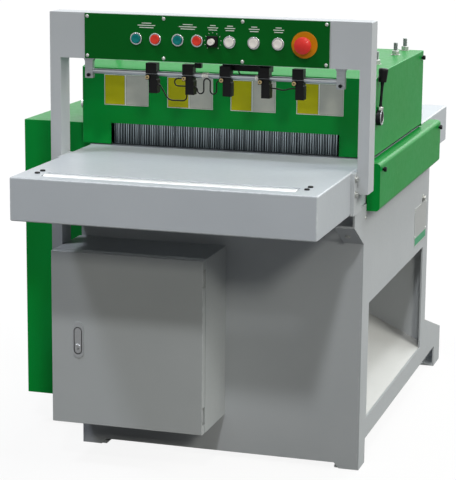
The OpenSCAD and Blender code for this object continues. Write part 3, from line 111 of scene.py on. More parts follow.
# %% Camera
CAMERA_PLACE = (1.3037, -4.8016, 1.4958)
YAW, PITCH, ROLL = (math.radians(a) for a in (16.74, 11.88, 0.52))
FOCAL_PX, PICTURE_PX, SENSOR_MM = 1844, 480, 36
forward = Vector((-math.sin(YAW) * math.cos(PITCH), math.cos(YAW) * math.cos(PITCH), -math.sin(PITCH)))
level = Vector((math.cos(YAW), math.sin(YAW), 0.0))
upward = level.cross(forward)
right = level * math.cos(ROLL) + upward * math.sin(ROLL)
upright = upward * math.cos(ROLL) - level * math.sin(ROLL)
aim = Matrix((right, upright, -forward)).transposed().to_4x4()
lens = bpy.data.cameras.new("photo_camera")
lens.lens = FOCAL_PX / PICTURE_PX * SENSOR_MM
lens.sensor_width = SENSOR_MM
lens.clip_end = 100
camera = new_object("photo_camera", lens)
camera.matrix_world = Matrix.Translation(CAMERA_PLACE) @ aim
scene.camera = camera
print("lens:", round(lens.lens, 1), "mm")

# %% [markdown]
# ## The laser leads
# Thin black wires hang in loops between the laser clamps on the rail.
# A mesh tube would do, but a curve with a round bevel stays smooth and knows its own length.
# Its box is drawn from the radius of its points, so the radius is set there and the bevel depth stays one.
# A wire keeps a bend radius, so each lead is a start and a heading, then straights with their bends, and an end.
# These are the moves of the solids, in millimetres and degrees. The short lead under the supply lies further back.

# %% Lead routes
LEAD_RADIUS, BEND_STEPS = 1.7 * MM, 14
LEAD_DEPTH, SUPPLY_DEPTH = -0.6355, -0.6096
routes = {
    "lead_first": ((-129, 950), 0, [(0, -60, 10), (25.4, 60, 20), (24.3, 90, 10.5)], (-55.5, 927.5)),
    "lead_coil": ((-59, 948), 180, [(18, -180, 9)], (-67, 966)),
    "lead_middle": ((-37, 948), 0, [(0, -90, 8), (0, 180, 8), (20.5, -180, 8), (20, 180, 8), (16, -60, 9)],
                    (26, 966)),
    "lead_last": ((212, 954), 180, [(8, 18, 25), (6, -36, 30), (0, 18, 25)], (151, 954)),
    "lead_supply": ((66, 986.5), -90, [(0.5, 90, 8.2), (35.6, 90, 8.2)], (118, 986.5)),
}


def bent_route(start, heading, moves, end):
    """Points of straights and bends in a plane across and up; a move is a length, a turn and its radius."""
    line, angle = [Vector(start)], math.radians(heading)
    for length, turn, radius in moves:
        ahead = Vector((math.cos(angle), math.sin(angle)))
        reach = math.copysign(radius, turn)
        centre = line[-1] + ahead * length + reach * Vector((-ahead.y, ahead.x))
        for k in range(0 if length else 1, BEND_STEPS + 1):
            spoke = angle + math.radians(turn) * k / BEND_STEPS
            line.append(centre + reach * Vector((math.sin(spoke), -math.cos(spoke))))
        angle += math.radians(turn)
    return line + [Vector(end)]


print("routes:", len(routes))

# %% Leads
leads = []
for name, route in routes.items():
    depth = SUPPLY_DEPTH if name == "lead_supply" else LEAD_DEPTH
    line = [Vector((p.x * MM, depth, p.y * MM)) for p in bent_route(*route)]
    wire = bpy.data.curves.new(name, "CURVE")
    wire.dimensions = "3D"
    wire.bevel_depth = 1.0
    wire.bevel_resolution = 3
    wire.use_fill_caps = True
    strand = wire.splines.new("POLY")
    strand.points.add(len(line) - 1)
    for point, place in zip(strand.points, line):
        point.co = (*place, 1)
        point.radius = LEAD_RADIUS
    lead = new_object(name, wire)
    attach(lead, "machine")
    leads.append(lead)
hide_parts("laser_leads")

# %% [markdown]
# ## Colours and nodes
# Colours are written as sRGB hex values, as a paint shop or a picture editor shows them.
# Shaders count in linear light, so one function converts them, and another adds a node with its settings.
# A colour mix node has sockets for every kind of data, so the numbers of the ones for colour get names.

# %% Helpers for materials
FACTOR, FIRST, SECOND, MIXED = 0, 6, 7, 2


def linear(code):
    """Linear colour of an sRGB hex value."""
    parts = [int(code[i : i + 2], 16) / 255 for i in (1, 3, 5)]
    return (*[p / 12.92 if p <= 0.04045 else ((p + 0.055) / 1.055) ** 2.4 for p in parts], 1.0)


def add_node(owner, kind, values=None, links=None, **settings):
    """Adds one node; settings are its properties, values its constants and links its fed inputs."""
    made = owner.node_tree.nodes.new(kind)
    for key, value in settings.items():
        setattr(made, key, value)
    for key, value in (values or {}).items():
        made.inputs[key].default_value = value
    for key, socket in (links or {}).items():
        owner.node_tree.links.new(socket, made.inputs[key])
    return made


def start_material(name, **constants):
    """A material with its main shader, the shader's constants and the object's own coordinates."""
    material = bpy.data.materials.new(name)
    material.use_nodes = True
    shader = material.node_tree.nodes["Principled BSDF"]
    for key, value in constants.items():
        shader.inputs[key.replace("_", " ")].default_value = value
    coords = add_node(material, "ShaderNodeTexCoord")
    return material, shader, coords.outputs["Object"]


def feed(material, shader, **sockets):
    """Links node outputs to the inputs of a shader."""
    for key, socket in sockets.items():
        material.node_tree.links.new(socket, shader.inputs[key.replace("_", " ")])


print("grey in linear light:", round(linear("#808080")[0], 3))

# %% [markdown]
# ## Powder-coated steel
# Most of the machine is folded sheet, sprayed with powder and baked. The coat flows into a faint orange peel,
# thins along folds and picks up rub marks where boards and hands pass.
# A flat colour would look like card, so the base colour drifts over a hand's width, a fine noise bumps it,
# and folds, which carry an attribute of their own, turn a shade lighter. Orange peel is about 2 mm wide.
# Powder paint has a soft skin, so its specular level is low and the colour stays deep when seen square on.

# %% Painted steel
DRIFT_MM, RUB_MM, PEEL_DEPTH = 160, 14, 0.4 * MM


def powder_coat(name, deep, light, rubbed, rough, peel_mm=2.2, peel=0.05, sheen=0.25):
    """Baked powder paint: colour drift, orange peel and paler folds."""
    material, shader, place = start_material(name, IOR=1.5, Specular_IOR_Level=sheen)
    drift = add_node(material, "ShaderNodeTexNoise", {"Scale": 1 / (DRIFT_MM * MM), "Detail": 4.0},
                     {"Vector": place})
    tone = add_node(material, "ShaderNodeMix", {FIRST: linear(deep), SECOND: linear(light)},
                    {FACTOR: drift.outputs["Fac"]}, data_type="RGBA")
    rubs = add_node(material, "ShaderNodeTexNoise", {"Scale": 1 / (RUB_MM * MM), "Detail": 5.0},
                    {"Vector": place})
    fold = add_node(material, "ShaderNodeAttribute", attribute_name="fold")
    spots = add_node(material, "ShaderNodeMapRange", {"From Min": 0.4, "From Max": 0.7, "To Max": 0.55},
                     {"Value": rubs.outputs["Fac"]})
    wear = add_node(material, "ShaderNodeMath", {}, {0: fold.outputs["Fac"], 1: spots.outputs["Result"]},
                    operation="MULTIPLY")
    worn = add_node(material, "ShaderNodeMix", {SECOND: linear(rubbed)},
                    {FACTOR: wear.outputs[0], FIRST: tone.outputs[MIXED]}, data_type="RGBA")
    gloss = add_node(material, "ShaderNodeMapRange", {"To Min": rough - 0.06, "To Max": rough + 0.1},
                     {"Value": rubs.outputs["Fac"]})
    grain = add_node(material, "ShaderNodeTexNoise", {"Scale": 1 / (peel_mm * MM), "Detail": 2.0},
                     {"Vector": place})
    bump = add_node(material, "ShaderNodeBump", {"Strength": peel, "Distance": PEEL_DEPTH},
                    {"Height": grain.outputs["Fac"]})
    feed(material, shader, Base_Color=worn.outputs[MIXED], Roughness=gloss.outputs["Result"],
         Normal=bump.outputs["Normal"])
    return material


# %% Paints
grey_paint = powder_coat("grey_powder_coat", "#a6abaf", "#b1b5b8", "#cfd3d6", 0.42)
# The gantry and table greys are the grey paint made paler: painted light, for the stronger light on them.
gantry_lit_paint = powder_coat("gantry_grey_lit_copy", "#aeb3b7", "#b9bdc0", "#d3d7da", 0.42)
table_lit_paint = powder_coat("table_grey_lit_copy", "#acb2b8", "#b7bdc2", "#d0d5d8", 0.36, sheen=0.4)
# The cabinet grey is the grey paint made darker: painted shade, as the cabinet stands under the table.
cabinet_shaded_paint = powder_coat("cabinet_grey_shaded_copy", "#a3a8a9", "#adb1b2", "#c9cdcf", 0.38,
                            peel_mm=3.0, peel=0.09)
green_paint = powder_coat("green_powder_coat", "#008024", "#008a3c", "#2f9a5a", 0.3, sheen=0.12)
panel_green = powder_coat("green_panel_film", "#005014", "#005a1b", "#2b8048", 0.34,
                          peel_mm=1.4, peel=0.03, sheen=0.1)
chute_paint = powder_coat("chute_grey_powder_coat", "#b3b5b4", "#bebfbe", "#cccbc6", 0.5)
motor_paint = powder_coat("motor_enamel", "#5f6a70", "#6c777d", "#8f999e", 0.45)
print("materials so far:", len(bpy.data.materials))

# %% [markdown]
# ## Bare and plated metals
# The rail is a drawn bar and the rollers are ground or chromed, so their fine scratches run one way.
# Nuts and screws are zinc plated, threads are plain rolled steel, arbor, pulleys and bearings are dark iron.
# Metals keep the default IOR. An image of scratches would repeat, so they come from a noise that is stretched
# along one axis. The real ones are finer than a pixel, so they are drawn a millimetre or two wide.
# Cast iron stays duller and darker than steel.

# %% Metal finish
SCRATCH_DEPTH = 0.3 * MM


def metal(name, dark, light, rough, grain_mm, stretch=(1, 1, 1), relief=0.06):
    """A metal whose tone, gloss and bump follow one stretched noise."""
    material, shader, place = start_material(name, Metallic=1.0)
    spread = add_node(material, "ShaderNodeMapping", {"Scale": stretch}, {"Vector": place})
    grain = add_node(material, "ShaderNodeTexNoise", {"Scale": 1 / (grain_mm * MM), "Detail": 5.0},
                     {"Vector": spread.outputs[0]})
    tone = add_node(material, "ShaderNodeMix", {FIRST: linear(dark), SECOND: linear(light)},
                    {FACTOR: grain.outputs["Fac"]}, data_type="RGBA")
    gloss = add_node(material, "ShaderNodeMapRange", {"To Min": rough - 0.07, "To Max": rough + 0.09},
                     {"Value": grain.outputs["Fac"]})
    bump = add_node(material, "ShaderNodeBump", {"Strength": relief, "Distance": SCRATCH_DEPTH},
                    {"Height": grain.outputs["Fac"]})
    feed(material, shader, Base_Color=tone.outputs[MIXED], Roughness=gloss.outputs["Result"],
         Normal=bump.outputs["Normal"])
    return material


# %% Metals
ground_steel = metal("ground_steel", "#cfd3d6", "#f2f4f6", 0.26, 1.2, (0.05, 1, 1))
rail_steel = metal("drawn_steel_bar", "#8d9397", "#b9bdc0", 0.34, 1.5, (0.04, 1, 1))
hard_chrome = metal("hard_chrome", "#e6e9eb", "#fdfdfd", 0.44, 1.2, (0.05, 1, 1))
ground_iron = metal("ground_cast_iron", "#6c7276", "#81878b", 0.6, 2.0, (1, 0.2, 1))
die_cast = metal("die_cast_zinc", "#b1b5b7", "#cdd0d2", 0.33, 2.5)
blade_steel = metal("ground_blade_steel", "#9aa0a5", "#c9ced2", 0.3, 2.0, (1, 0.4, 0.4))
zinc = metal("zinc_plate", "#a9aca9", "#d4d5d0", 0.32, 3.0)
stud_steel = metal("rolled_thread_steel", "#7a817f", "#999f9d", 0.46, 2.5)
brass = metal("turned_brass", "#b39a6a", "#d6c294", 0.3, 1.5)
satin_chrome = metal("satin_chrome", "#b9bbbd", "#dcdedf", 0.2, 2.5)
dark_iron = metal("blackened_iron", "#2e3235", "#4a5054", 0.5, 2.5, relief=0.2)
black_oxide = metal("black_oxide_steel", "#17181a", "#2c2e31", 0.42, 2.0)
plate_aluminium = metal("brushed_aluminium", "#c2c5c3", "#d6d8d6", 0.42, 1.0, (1, 0.03, 1))
print("materials so far:", len(bpy.data.materials))

# %% [markdown]
# ## Finger steel
# The kickback fingers are stamped plates side by side. Their shining narrow edges are painted highlights, the dark
# gaps between them are painted shade, and their lower ends are painted darker as shade too. A band wave across the
# row paints the edges and gaps, a noise makes them uneven, and the height paints the shade low down. The plates are
# 3.6 mm thick;
# the bands are drawn coarser, so that they show at the size of the picture.

# %% Fingers
GLINT_BAND_MM, LOW_SHADE_FOOT, LOW_SHADE_TOP = 6.4, 0.766, 0.836
# A band wave repeats every pi / 10 units at a scale of one.
glint_band_scale = math.pi / (10 * GLINT_BAND_MM * MM)
finger_steel, shader, place = start_material("stamped_steel_with_painted_light", Metallic=1.0, Roughness=0.4)
# The bands paint a highlight on each plate's edge (#c2d0d6) and shade in the gaps between the plates (#141c22).
glint_bands = add_node(finger_steel, "ShaderNodeTexWave",
                 {"Scale": glint_band_scale, "Distortion": 1.6, "Detail": 3.0, "Detail Scale": 0.6}, {"Vector": place})
edge = add_node(finger_steel, "ShaderNodeMix", {FIRST: linear("#141c22"), SECOND: linear("#c2d0d6")},
                {FACTOR: glint_bands.outputs["Fac"]}, data_type="RGBA")
height = add_node(finger_steel, "ShaderNodeSeparateXYZ", {}, {0: place})
# Towards the lower ends the colour darkens to #12191d: painted shade near the bed.
unshaded_share = add_node(finger_steel, "ShaderNodeMapRange",
                 {"From Min": LOW_SHADE_FOOT, "From Max": LOW_SHADE_TOP, "To Min": 0.15}, {"Value": height.outputs["Z"]})
low_painted_shade = add_node(finger_steel, "ShaderNodeMix", {FIRST: linear("#12191d")},
                 {FACTOR: unshaded_share.outputs[0], SECOND: edge.outputs[MIXED]}, data_type="RGBA")
feed(finger_steel, shader, Base_Color=low_painted_shade.outputs[MIXED])
print(finger_steel.name, "band", GLINT_BAND_MM, "mm")

# %% [markdown]
# ## Plastics, rubber and films
# Knobs and clamps are moulded black plastic with a spark-eroded grain of about a millimetre, button caps are
# gloss plastic with a clear face, belts are rubber, and the plates on the hood are coloured film.
# One function serves them all, because they differ only in colour, gloss and the size of their grain.

# %% Moulded finish
TINT_MM, MOULD_DEPTH = 20, 0.2 * MM


def moulded(name, deep, light, rough, grain_mm=0.9, relief=0.12, coat=0.0):
    """Moulded plastic: a fine grain and a slight drift of colour."""
    material, shader, place = start_material(name, IOR=1.47, Coat_Weight=coat, Coat_Roughness=0.08,
                                             Specular_IOR_Level=0.2)
    drift = add_node(material, "ShaderNodeTexNoise", {"Scale": 1 / (TINT_MM * MM), "Detail": 3.0},
                     {"Vector": place})
    tone = add_node(material, "ShaderNodeMix", {FIRST: linear(deep), SECOND: linear(light)},
                    {FACTOR: drift.outputs["Fac"]}, data_type="RGBA")
    grain = add_node(material, "ShaderNodeTexNoise", {"Scale": 1 / (grain_mm * MM), "Detail": 3.0},
                     {"Vector": place})
    gloss = add_node(material, "ShaderNodeMapRange", {"To Min": rough - 0.05, "To Max": rough + 0.08},
                     {"Value": grain.outputs["Fac"]})
    bump = add_node(material, "ShaderNodeBump", {"Strength": relief, "Distance": MOULD_DEPTH},
                    {"Height": grain.outputs["Fac"]})
    feed(material, shader, Base_Color=tone.outputs[MIXED], Roughness=gloss.outputs["Result"],
         Normal=bump.outputs["Normal"])
    return material


# %% Plastics
black_plastic = moulded("black_abs", "#050506", "#0d0e0f", 0.42)
black_rubber_and_shade = moulded("belt_rubber", "#141414", "#222222", 0.7, 1.5, 0.3)
wire_vinyl = moulded("black_pvc", "#0b0b0c", "#151617", 0.38, 0.6, 0.05)
cap_blue = moulded("blue_polycarbonate", "#006a69", "#037a77", 0.25, coat=0.05)
cap_red = moulded("red_polycarbonate", "#d03324", "#de4433", 0.25, coat=0.05)
cap_white = moulded("white_polycarbonate", "#dfd9d2", "#ece7e1", 0.25, coat=0.05)
stop_red = moulded("red_nylon", "#cf2c27", "#de3c35", 0.32, coat=0.1)
stop_yellow = moulded("yellow_abs", "#bd7407", "#c6800d", 0.4)
tie_nylon = moulded("white_nylon", "#d9d8d2", "#e8e7e1", 0.45)
film_yellow = moulded("yellow_film", "#a9a80a", "#b9b610", 0.3)
film_grey = moulded("pale_grey_film", "#aeb0a6", "#bcbdb2", 0.3)
film_white = moulded("white_film", "#cfd6cb", "#dde2da", 0.3)
# This black is print on the hood plates and painted shade on the floors of recesses and in the keyhole.
print_and_shade_black = moulded("black_print_and_shade", "#202320", "#2c302c", 0.35)
film_green = moulded("green_film", "#2c8a5e", "#3a9a6c", 0.3)
switch_grey = moulded("grey_polyamide", "#b9bbbb", "#c8cac9", 0.42)
for lead in leads:
    lead.data.materials.append(wire_vinyl)
print("materials so far:", len(bpy.data.materials))

# %% [markdown]
# ## Softened solids
# A sharp CAD edge never catches the light, but a folded sheet has a bend radius and a cut plate a broken edge.
# The Bevel modifier could round a solid, but it can't tell folds from cut edges. Here a copy of the solid is merged,
# its flat triangles are dissolved, and the bevel operator rounds the outer folds wide and every other edge finely.
# A fold is narrower than its sheet is thick. The new faces get the attribute that the paint reads.

# %% Edges and pieces
SHARP, FLAT = math.radians(30), math.radians(0.5)
FLUSH, MERGE = 0.02 * MM, 1e-6


def on_outer_box(edge, low, high):
    """True where an edge lies on two outer faces of its solid, as a fold does."""
    shared = 0
    for axis in range(3):
        for side in (low[axis], high[axis]):
            shared += all(abs(v.co[axis] - side) < FLUSH for v in edge.verts)
    return shared >= 2


def finish_piece(name, bm, materials, body):
    """Turns a bmesh into a shaded piece that rides on a body."""
    for edge in bm.edges:
        edge.smooth = len(edge.link_faces) == 2 and edge.calc_face_angle(0) < SHARP
    for face in bm.faces:
        face.smooth = True
    mesh = bpy.data.meshes.new(name)
    bm.to_mesh(mesh)
    bm.free()
    for material in materials:
        mesh.materials.append(material)
    piece = new_object(name, mesh)
    even = piece.modifiers.new("even_normals", "WEIGHTED_NORMAL")
    even.keep_sharp = True
    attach(piece, body)
    return piece


def merged_copy(name):
    """A bmesh of a solid whose loose triangles are joined."""
    bm = bmesh.new()
    bm.from_mesh(solids[name].data)
    bmesh.ops.remove_doubles(bm, verts=bm.verts, dist=MERGE)
    return bm


# %% [markdown]
# ## The hood's brow
# The front strip of the hood's top falls a little towards the operator, and its right side reaches down to the side
# cover. A lattice could bend it, but one cut across the top and three small moves of corners keep every sheet flat.

# %% Brow
BOTH_FACES, BROW_DEPTH, BROW_DROP = 5 * MM, 60 * MM, 12 * MM
LIP_HEIGHT, LIP_LIFT, SKIRT_HEIGHT, SKIRT_DROP = 0.770, 2 * MM, 0.787, 9 * MM


def brow(bm, low, high):
    """Slopes the front strip of the hood's top, lifts its lower lip and draws its right side down.

    Corners within a few millimetres of an outer side belong to both faces of its sheet.
    """
    bmesh.ops.bisect_plane(bm, geom=bm.verts[:] + bm.edges[:] + bm.faces[:], dist=1e-7,
                           plane_co=(0, low.y + BROW_DEPTH, 0), plane_no=(0, 1, 0))
    front = [v for v in bm.verts if v.co.y < low.y + BOTH_FACES]
    ridge = [v for v in front if v.co.z > high.z - BOTH_FACES]
    lip = [v for v in front if abs(v.co.z - LIP_HEIGHT) < MM]
    skirt = [v for v in bm.verts if v.co.x > high.x - BOTH_FACES and abs(v.co.z - SKIRT_HEIGHT) < MM]
    for verts, rise in ((ridge, -BROW_DROP), (lip, LIP_LIFT), (skirt, -SKIRT_DROP)):
        bmesh.ops.translate(bm, verts=verts, vec=(0, 0, rise))
    print("brow:", len(ridge), "lip:", len(lip), "skirt:", len(skirt), "corners")


# %% Softening
def softened(name, material, edge, fold):
    """A copy of a solid with rounded folds and broken edges in millimetres, in place of the solid."""
    bm = merged_copy(name)
    bmesh.ops.dissolve_limit(bm, angle_limit=FLAT, verts=bm.verts, edges=bm.edges)
    low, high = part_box(name)
    if name == "saw_hood":
        brow(bm, low, high)
    worn = bm.faces.layers.float.new("fold")
    for width, picked in ((fold, lambda e: on_outer_box(e, low, high)), (edge, lambda e: True)):
        sharp = [e for e in bm.edges if len(e.link_faces) == 2 and e.calc_face_angle(0) > SHARP and picked(e)]
        if width and sharp:
            made = bmesh.ops.bevel(bm, geom=sharp, offset=width * MM, offset_type="OFFSET", affect="EDGES",
                                   segments=3, profile=0.5, material=-1, clamp_overlap=True)
            for face in made["faces"]:
                face[worn] = 1.0
    piece = finish_piece("soft_" + name, bm, [material], solids[name]["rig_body"])
    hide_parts(name)
    return piece


# %% Dressed solids
dressed = {
    "side_walls": (grey_paint, 0.8, 0), "end_panels": (grey_paint, 0.8, 0), "foot_plates": (grey_paint, 0.8, 0),
    "table_brackets": (grey_paint, 0.8, 0), "gantry_frame": (gantry_lit_paint, 0.5, 2.5),
    "infeed_table": (table_lit_paint, 0.6, 4.0), "outfeed_table": (table_lit_paint, 0.6, 4.0),
    "control_panel": (panel_green, 0.5, 0), "saw_hood": (green_paint, 0.5, 2.4),
    "side_cover": (green_paint, 0.4, 1.5), "belt_cover": (green_paint, 0.4, 1.6),
    "cabinet_box": (cabinet_shaded_paint, 0.3, 1.6), "cabinet_door": (cabinet_shaded_paint, 0.3, 1.6),
    "sawdust_chute": (chute_paint, 0.5, 0), "bed_plate": (ground_iron, 0.6, 0),
    "button_bezels": (satin_chrome, 0.8, 0), "dial_body": (black_plastic, 0.8, 0),
    "dial_knob": (cap_white, 0.4, 0), "estop_ring": (stop_yellow, 0.5, 0), "estop_head": (stop_red, 1.2, 0),
    "estop_stem": (black_plastic, 0.4, 0), "laser_clamps": (black_plastic, 0.6, 0),
    "laser_supply": (black_plastic, 1.5, 0), "laser_rail": (rail_steel, 0.4, 0),
    "roller_blocks": (black_oxide, 0.4, 0), "infeed_roller": (hard_chrome, 0.6, 0),
    "lock_case": (die_cast, 0.4, 0), "lock_handle": (satin_chrome, 0.8, 0), "lock_button": (satin_chrome, 0.6, 0),
    "frame_bolts": (zinc, 0.4, 0), "kickback_fingers": (finger_steel, 0.4, 0),
}
caps = {"saw_start_button": cap_blue, "feed_start_button": cap_blue, "saw_stop_button": cap_red,
        "feed_stop_button": cap_red, "reset_button": cap_white, "laser_button": cap_white, "lit_button": cap_white}
CAP_EDGE = 0.7
dressed.update({name: (cap, CAP_EDGE, 0) for name, cap in caps.items()})
for name, (material, edge, fold) in dressed.items():
    piece = softened(name, material, edge, fold)
    print(piece.name, len(piece.data.polygons), "faces")

# %% [markdown]
# ## Inner solids
# Blades, rollers, belts and motors sit behind covers. They could be softened too, but hardly anyone sees them.
# Their CAD shapes are right, so they only get finishes.

# %% Finishes on solids
inner = {
    "finger_shaft": ground_steel, "saw_blades": blade_steel, "saw_arbor": dark_iron,
    "arbor_pulley": dark_iron, "motor_pulley": dark_iron, "drive_belts": black_rubber_and_shade, "main_motor": motor_paint,
    "bearing_blocks": dark_iron, "feed_roller_front": ground_steel, "feed_roller_rear": ground_steel,
    "feed_chain": black_oxide, "feed_gearmotor": motor_paint, "drive_sprocket": dark_iron,
    "pressure_carrier_front": dark_iron, "pressure_carrier_rear": dark_iron, "pressure_roller_front": black_rubber_and_shade,
    "pressure_roller_rear": black_rubber_and_shade, "contactor_plate": switch_grey,
}
for name, material in inner.items():
    solids[name].data.materials.clear()
    solids[name].data.materials.append(material)
print("finished solids:", len(inner))

# %% [markdown]
# ## Turned work
# Screws, rings, knobs and grips are made on a lathe: a profile goes round an axis. The Screw modifier could do that,
# but the spin operator leaves a plain mesh. Points on the axis fall together, so doubles are merged, and a spin
# may come out inside out, so the normals are recalculated. A screw is a turned head with a dark disc in its recess,
# which is painted shade.

# %% Lathe
ACROSS, AHEAD, UP = Vector((1, 0, 0)), Vector((0, -1, 0)), Vector((0, 0, 1))


def turned(bm, profile, place, axis, steps=32, ink=0):
    """Spins a profile of radius and height in millimetres about an axis that starts at a place."""
    side = axis.orthogonal().normalized()
    made = [bm.verts.new(place + side * (r * MM) + axis * (h * MM)) for r, h in profile]
    edges = [bm.edges.new(pair) for pair in zip(made, made[1:])]
    old = set(bm.faces)
    bmesh.ops.spin(bm, geom=made + edges, cent=place, axis=axis, angle=2 * math.pi, steps=steps, use_merge=True)
    faces = [f for f in bm.faces if f not in old]
    for face in faces:
        face.material_index = ink
    corners = list(dict.fromkeys(v for f in faces for v in f.verts))
    bmesh.ops.remove_doubles(bm, verts=corners, dist=2 * MERGE)
    bmesh.ops.recalc_face_normals(bm, faces=[f for f in bm.faces if f not in old])


def screw(bm, head, recess, place, axis, steps, recess_steps):
    """A turned head and the black floor of its recess, painted shade; the recess is given by radius and height."""
    turned(bm, head, place, axis, steps)
    # Ink 1 is the black floor of the recess: painted shade.
    turned(bm, [(0, recess[1]), recess], place, axis, recess_steps, 1)


# %% Blocks
def box_piece(bm, low, high, soft=0.0, ink=0):
    """Adds a block between two corners in metres, with its edges broken by a small bevel."""
    size = Vector(high) - Vector(low)
    where = Matrix.Translation((Vector(high) + Vector(low)) / 2) @ Matrix.Diagonal((*size, 1))
    made = bmesh.ops.create_cube(bm, size=1, matrix=where)["verts"]
    edges = list(dict.fromkeys(e for v in made for e in v.link_edges))
    for face in {f for v in made for f in v.link_faces}:
        face.material_index = ink
    if soft:
        bmesh.ops.bevel(bm, geom=edges, offset=soft * MM, affect="EDGES", segments=2, profile=0.5, material=-1)


# %% Bodies of a solid
def bodies_of(name):
    """Lowest and highest corner of every separate body in a solid, from left to right."""
    bm = merged_copy(name)
    left, boxes = set(bm.verts), []
    while left:
        group = [left.pop()]
        for vert in group:
            near = {e.other_vert(vert) for e in vert.link_edges} & left
            left -= near
            group.extend(near)
        columns = list(zip(*(v.co for v in group)))
        boxes.append((Vector([min(c) for c in columns]), Vector([max(c) for c in columns])))
    bm.free()
    return sorted(boxes, key=lambda b: tuple(b[0]))


print("knobs found:", len(bodies_of("cover_knobs")))

# %% [markdown]
# ## Plates on the hood
# Four thin plates sit on the hood's front: a pale border, a dark line, and two fields, one olive yellow, one grey.
# They could be image textures, but a cut plate with insets keeps crisp borders at any size.
# A block is halved by a plane, each half is inset twice, and the rings take their own inks.

# %% Hood plates
PLATE_SPANS = ((-326.5, -209.6), (-159.5, -41.0), (5.0, 120.0), (173.0, 290.7))
PLATE_FOOT, PLATE_HEAD, PLATE_THICK, YELLOW_SHARE = 0.871, 0.948, 0.7 * MM, 0.48
BORDER, LINE, FIELD_SINK = 2.2 * MM, 0.8 * MM, 0.15 * MM
hood_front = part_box("saw_hood")[0].y
bm = bmesh.new()
for start, end in PLATE_SPANS:
    low = Vector((start * MM, hood_front - PLATE_THICK, PLATE_FOOT))
    high = Vector((end * MM, hood_front, PLATE_HEAD))
    old = set(bm.faces)
    box_piece(bm, low, high)
    new = [f for f in bm.faces if f not in old]
    split = low.x + (high.x - low.x) * YELLOW_SHARE
    geom = list(dict.fromkeys(g for f in new for g in (*f.verts, *f.edges, f)))
    bmesh.ops.bisect_plane(bm, geom=geom, dist=1e-7, plane_co=(split, 0, 0), plane_no=(1, 0, 0))
    halves = [f for f in bm.faces if f not in old and f.normal.y < -0.9]
    bmesh.ops.inset_individual(bm, faces=halves, thickness=BORDER, depth=0)
    for face in halves:
        face.material_index = 1
    bmesh.ops.inset_individual(bm, faces=halves, thickness=LINE, depth=-FIELD_SINK)
    for face in halves:
        face.material_index = 2 if face.calc_center_median().x < split else 3
piece = finish_piece("hood_plates", bm, [film_white, print_and_shade_black, film_yellow, film_grey], "machine")
print(piece.name, len(piece.data.polygons), "faces")

# %% [markdown]
# ## Marks on the panel
# Above the buttons the panel carries short printed lines, and round the dial a scale of ticks.
# They could be painted by a texture, but thin blocks stay crisp. They are raised by 0.15 mm, like thick
# screen-printing ink, so they never flicker with the panel.

# %% Panel lines
CONTROL_HEIGHT, INK = 1.06, 0.15 * MM
LABELS = ((-149, 44), (-46, 44), (16, 26), (58, 26), (117, 26), (176, 26))
LABEL_ROWS, ROW_FOOT, ROW_HEAD = ((0, 0.55), (5.2, 1.0), (10.4, 0.8)), 36.2, 38.0
panel_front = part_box("control_panel")[0].y
bm = bmesh.new()
for x, wide in LABELS:
    for drop, share in LABEL_ROWS:
        half = wide * share / 2
        box_piece(bm, ((x - half) * MM, panel_front - INK, CONTROL_HEIGHT + (ROW_FOOT - drop) * MM),
                  ((x + half) * MM, panel_front, CONTROL_HEIGHT + (ROW_HEAD - drop) * MM))
print("lines:", len(LABELS) * len(LABEL_ROWS))

# %% Dial ticks
DIAL_X, TICKS, TICK_START, TICK_TURN = 0.016, 11, -140, 28
TICK_SIZE, TICK_RADIUS = (0.9 * MM, INK, 3 * MM, 1), 20.5 * MM
for k in range(TICKS):
    angle = math.radians(TICK_START + TICK_TURN * k)
    made = bmesh.ops.create_cube(bm, size=1, matrix=Matrix.Diagonal(TICK_SIZE))["verts"]
    bmesh.ops.translate(bm, verts=made, vec=(0, 0, TICK_RADIUS))
    bmesh.ops.rotate(bm, verts=made, cent=(0, 0, 0), matrix=Matrix.Rotation(angle, 3, "Y"))
    bmesh.ops.translate(bm, verts=made, vec=(DIAL_X, panel_front - INK / 2, CONTROL_HEIGHT))
piece = finish_piece("panel_marks", bm, [film_white], "machine")
print(piece.name, len(piece.data.polygons), "faces")

# %% [markdown]
# ## Screws
# Pan-head screws hold the panel and brass thumb screws the laser clamps. A picture of a screw would do from afar,
# but a turned head catches the light. The floor of its recess is painted black as shade, so it reads as a hole.

# %% Panel and clamp screws
PAN_HEAD = [(0, 1.2), (1.6, 1.2), (1.8, 2.3), (3.2, 2.1), (4.1, 1.3), (4.4, 0.2), (4.4, 0)]
THUMB_HEAD = [(0, 1.6), (2.0, 1.6), (2.2, 3.4), (4.4, 3.4), (4.9, 2.9), (4.9, 0.3), (4.5, 0)]
PAN_RECESS, THUMB_RECESS = (1.5, 1.25), (1.9, 1.65)
THUMB_X, THUMB_DROP = 6.75 * MM, 33 * MM
bm = bmesh.new()
for low, high in bodies_of("frame_bolts"):
    if abs(high.y - panel_front) < 0.1 * MM:
        head = Vector(((low.x + high.x) / 2, panel_front, (low.z + high.z) / 2))
        screw(bm, PAN_HEAD, PAN_RECESS, head, AHEAD, 24, 24)
panel_screws = finish_piece("panel_screws", bm, [zinc, print_and_shade_black], "machine")
bm = bmesh.new()
for low, high in bodies_of("laser_clamps"):
    head = Vector((low.x + THUMB_X, low.y, high.z - THUMB_DROP))
    screw(bm, THUMB_HEAD, THUMB_RECESS, head, AHEAD, 24, 24)
thumb_screws = finish_piece("clamp_screws", bm, [brass, print_and_shade_black], "machine")
print(panel_screws.name, thumb_screws.name)

# %% [markdown]
# ## Hanger screws and ties
# A black socket screw holds each end of the rail, and white cable ties bind the leads to it.
# A tie is a flat band with a little lock block, so the band is turned round the rail and the block bevelled.

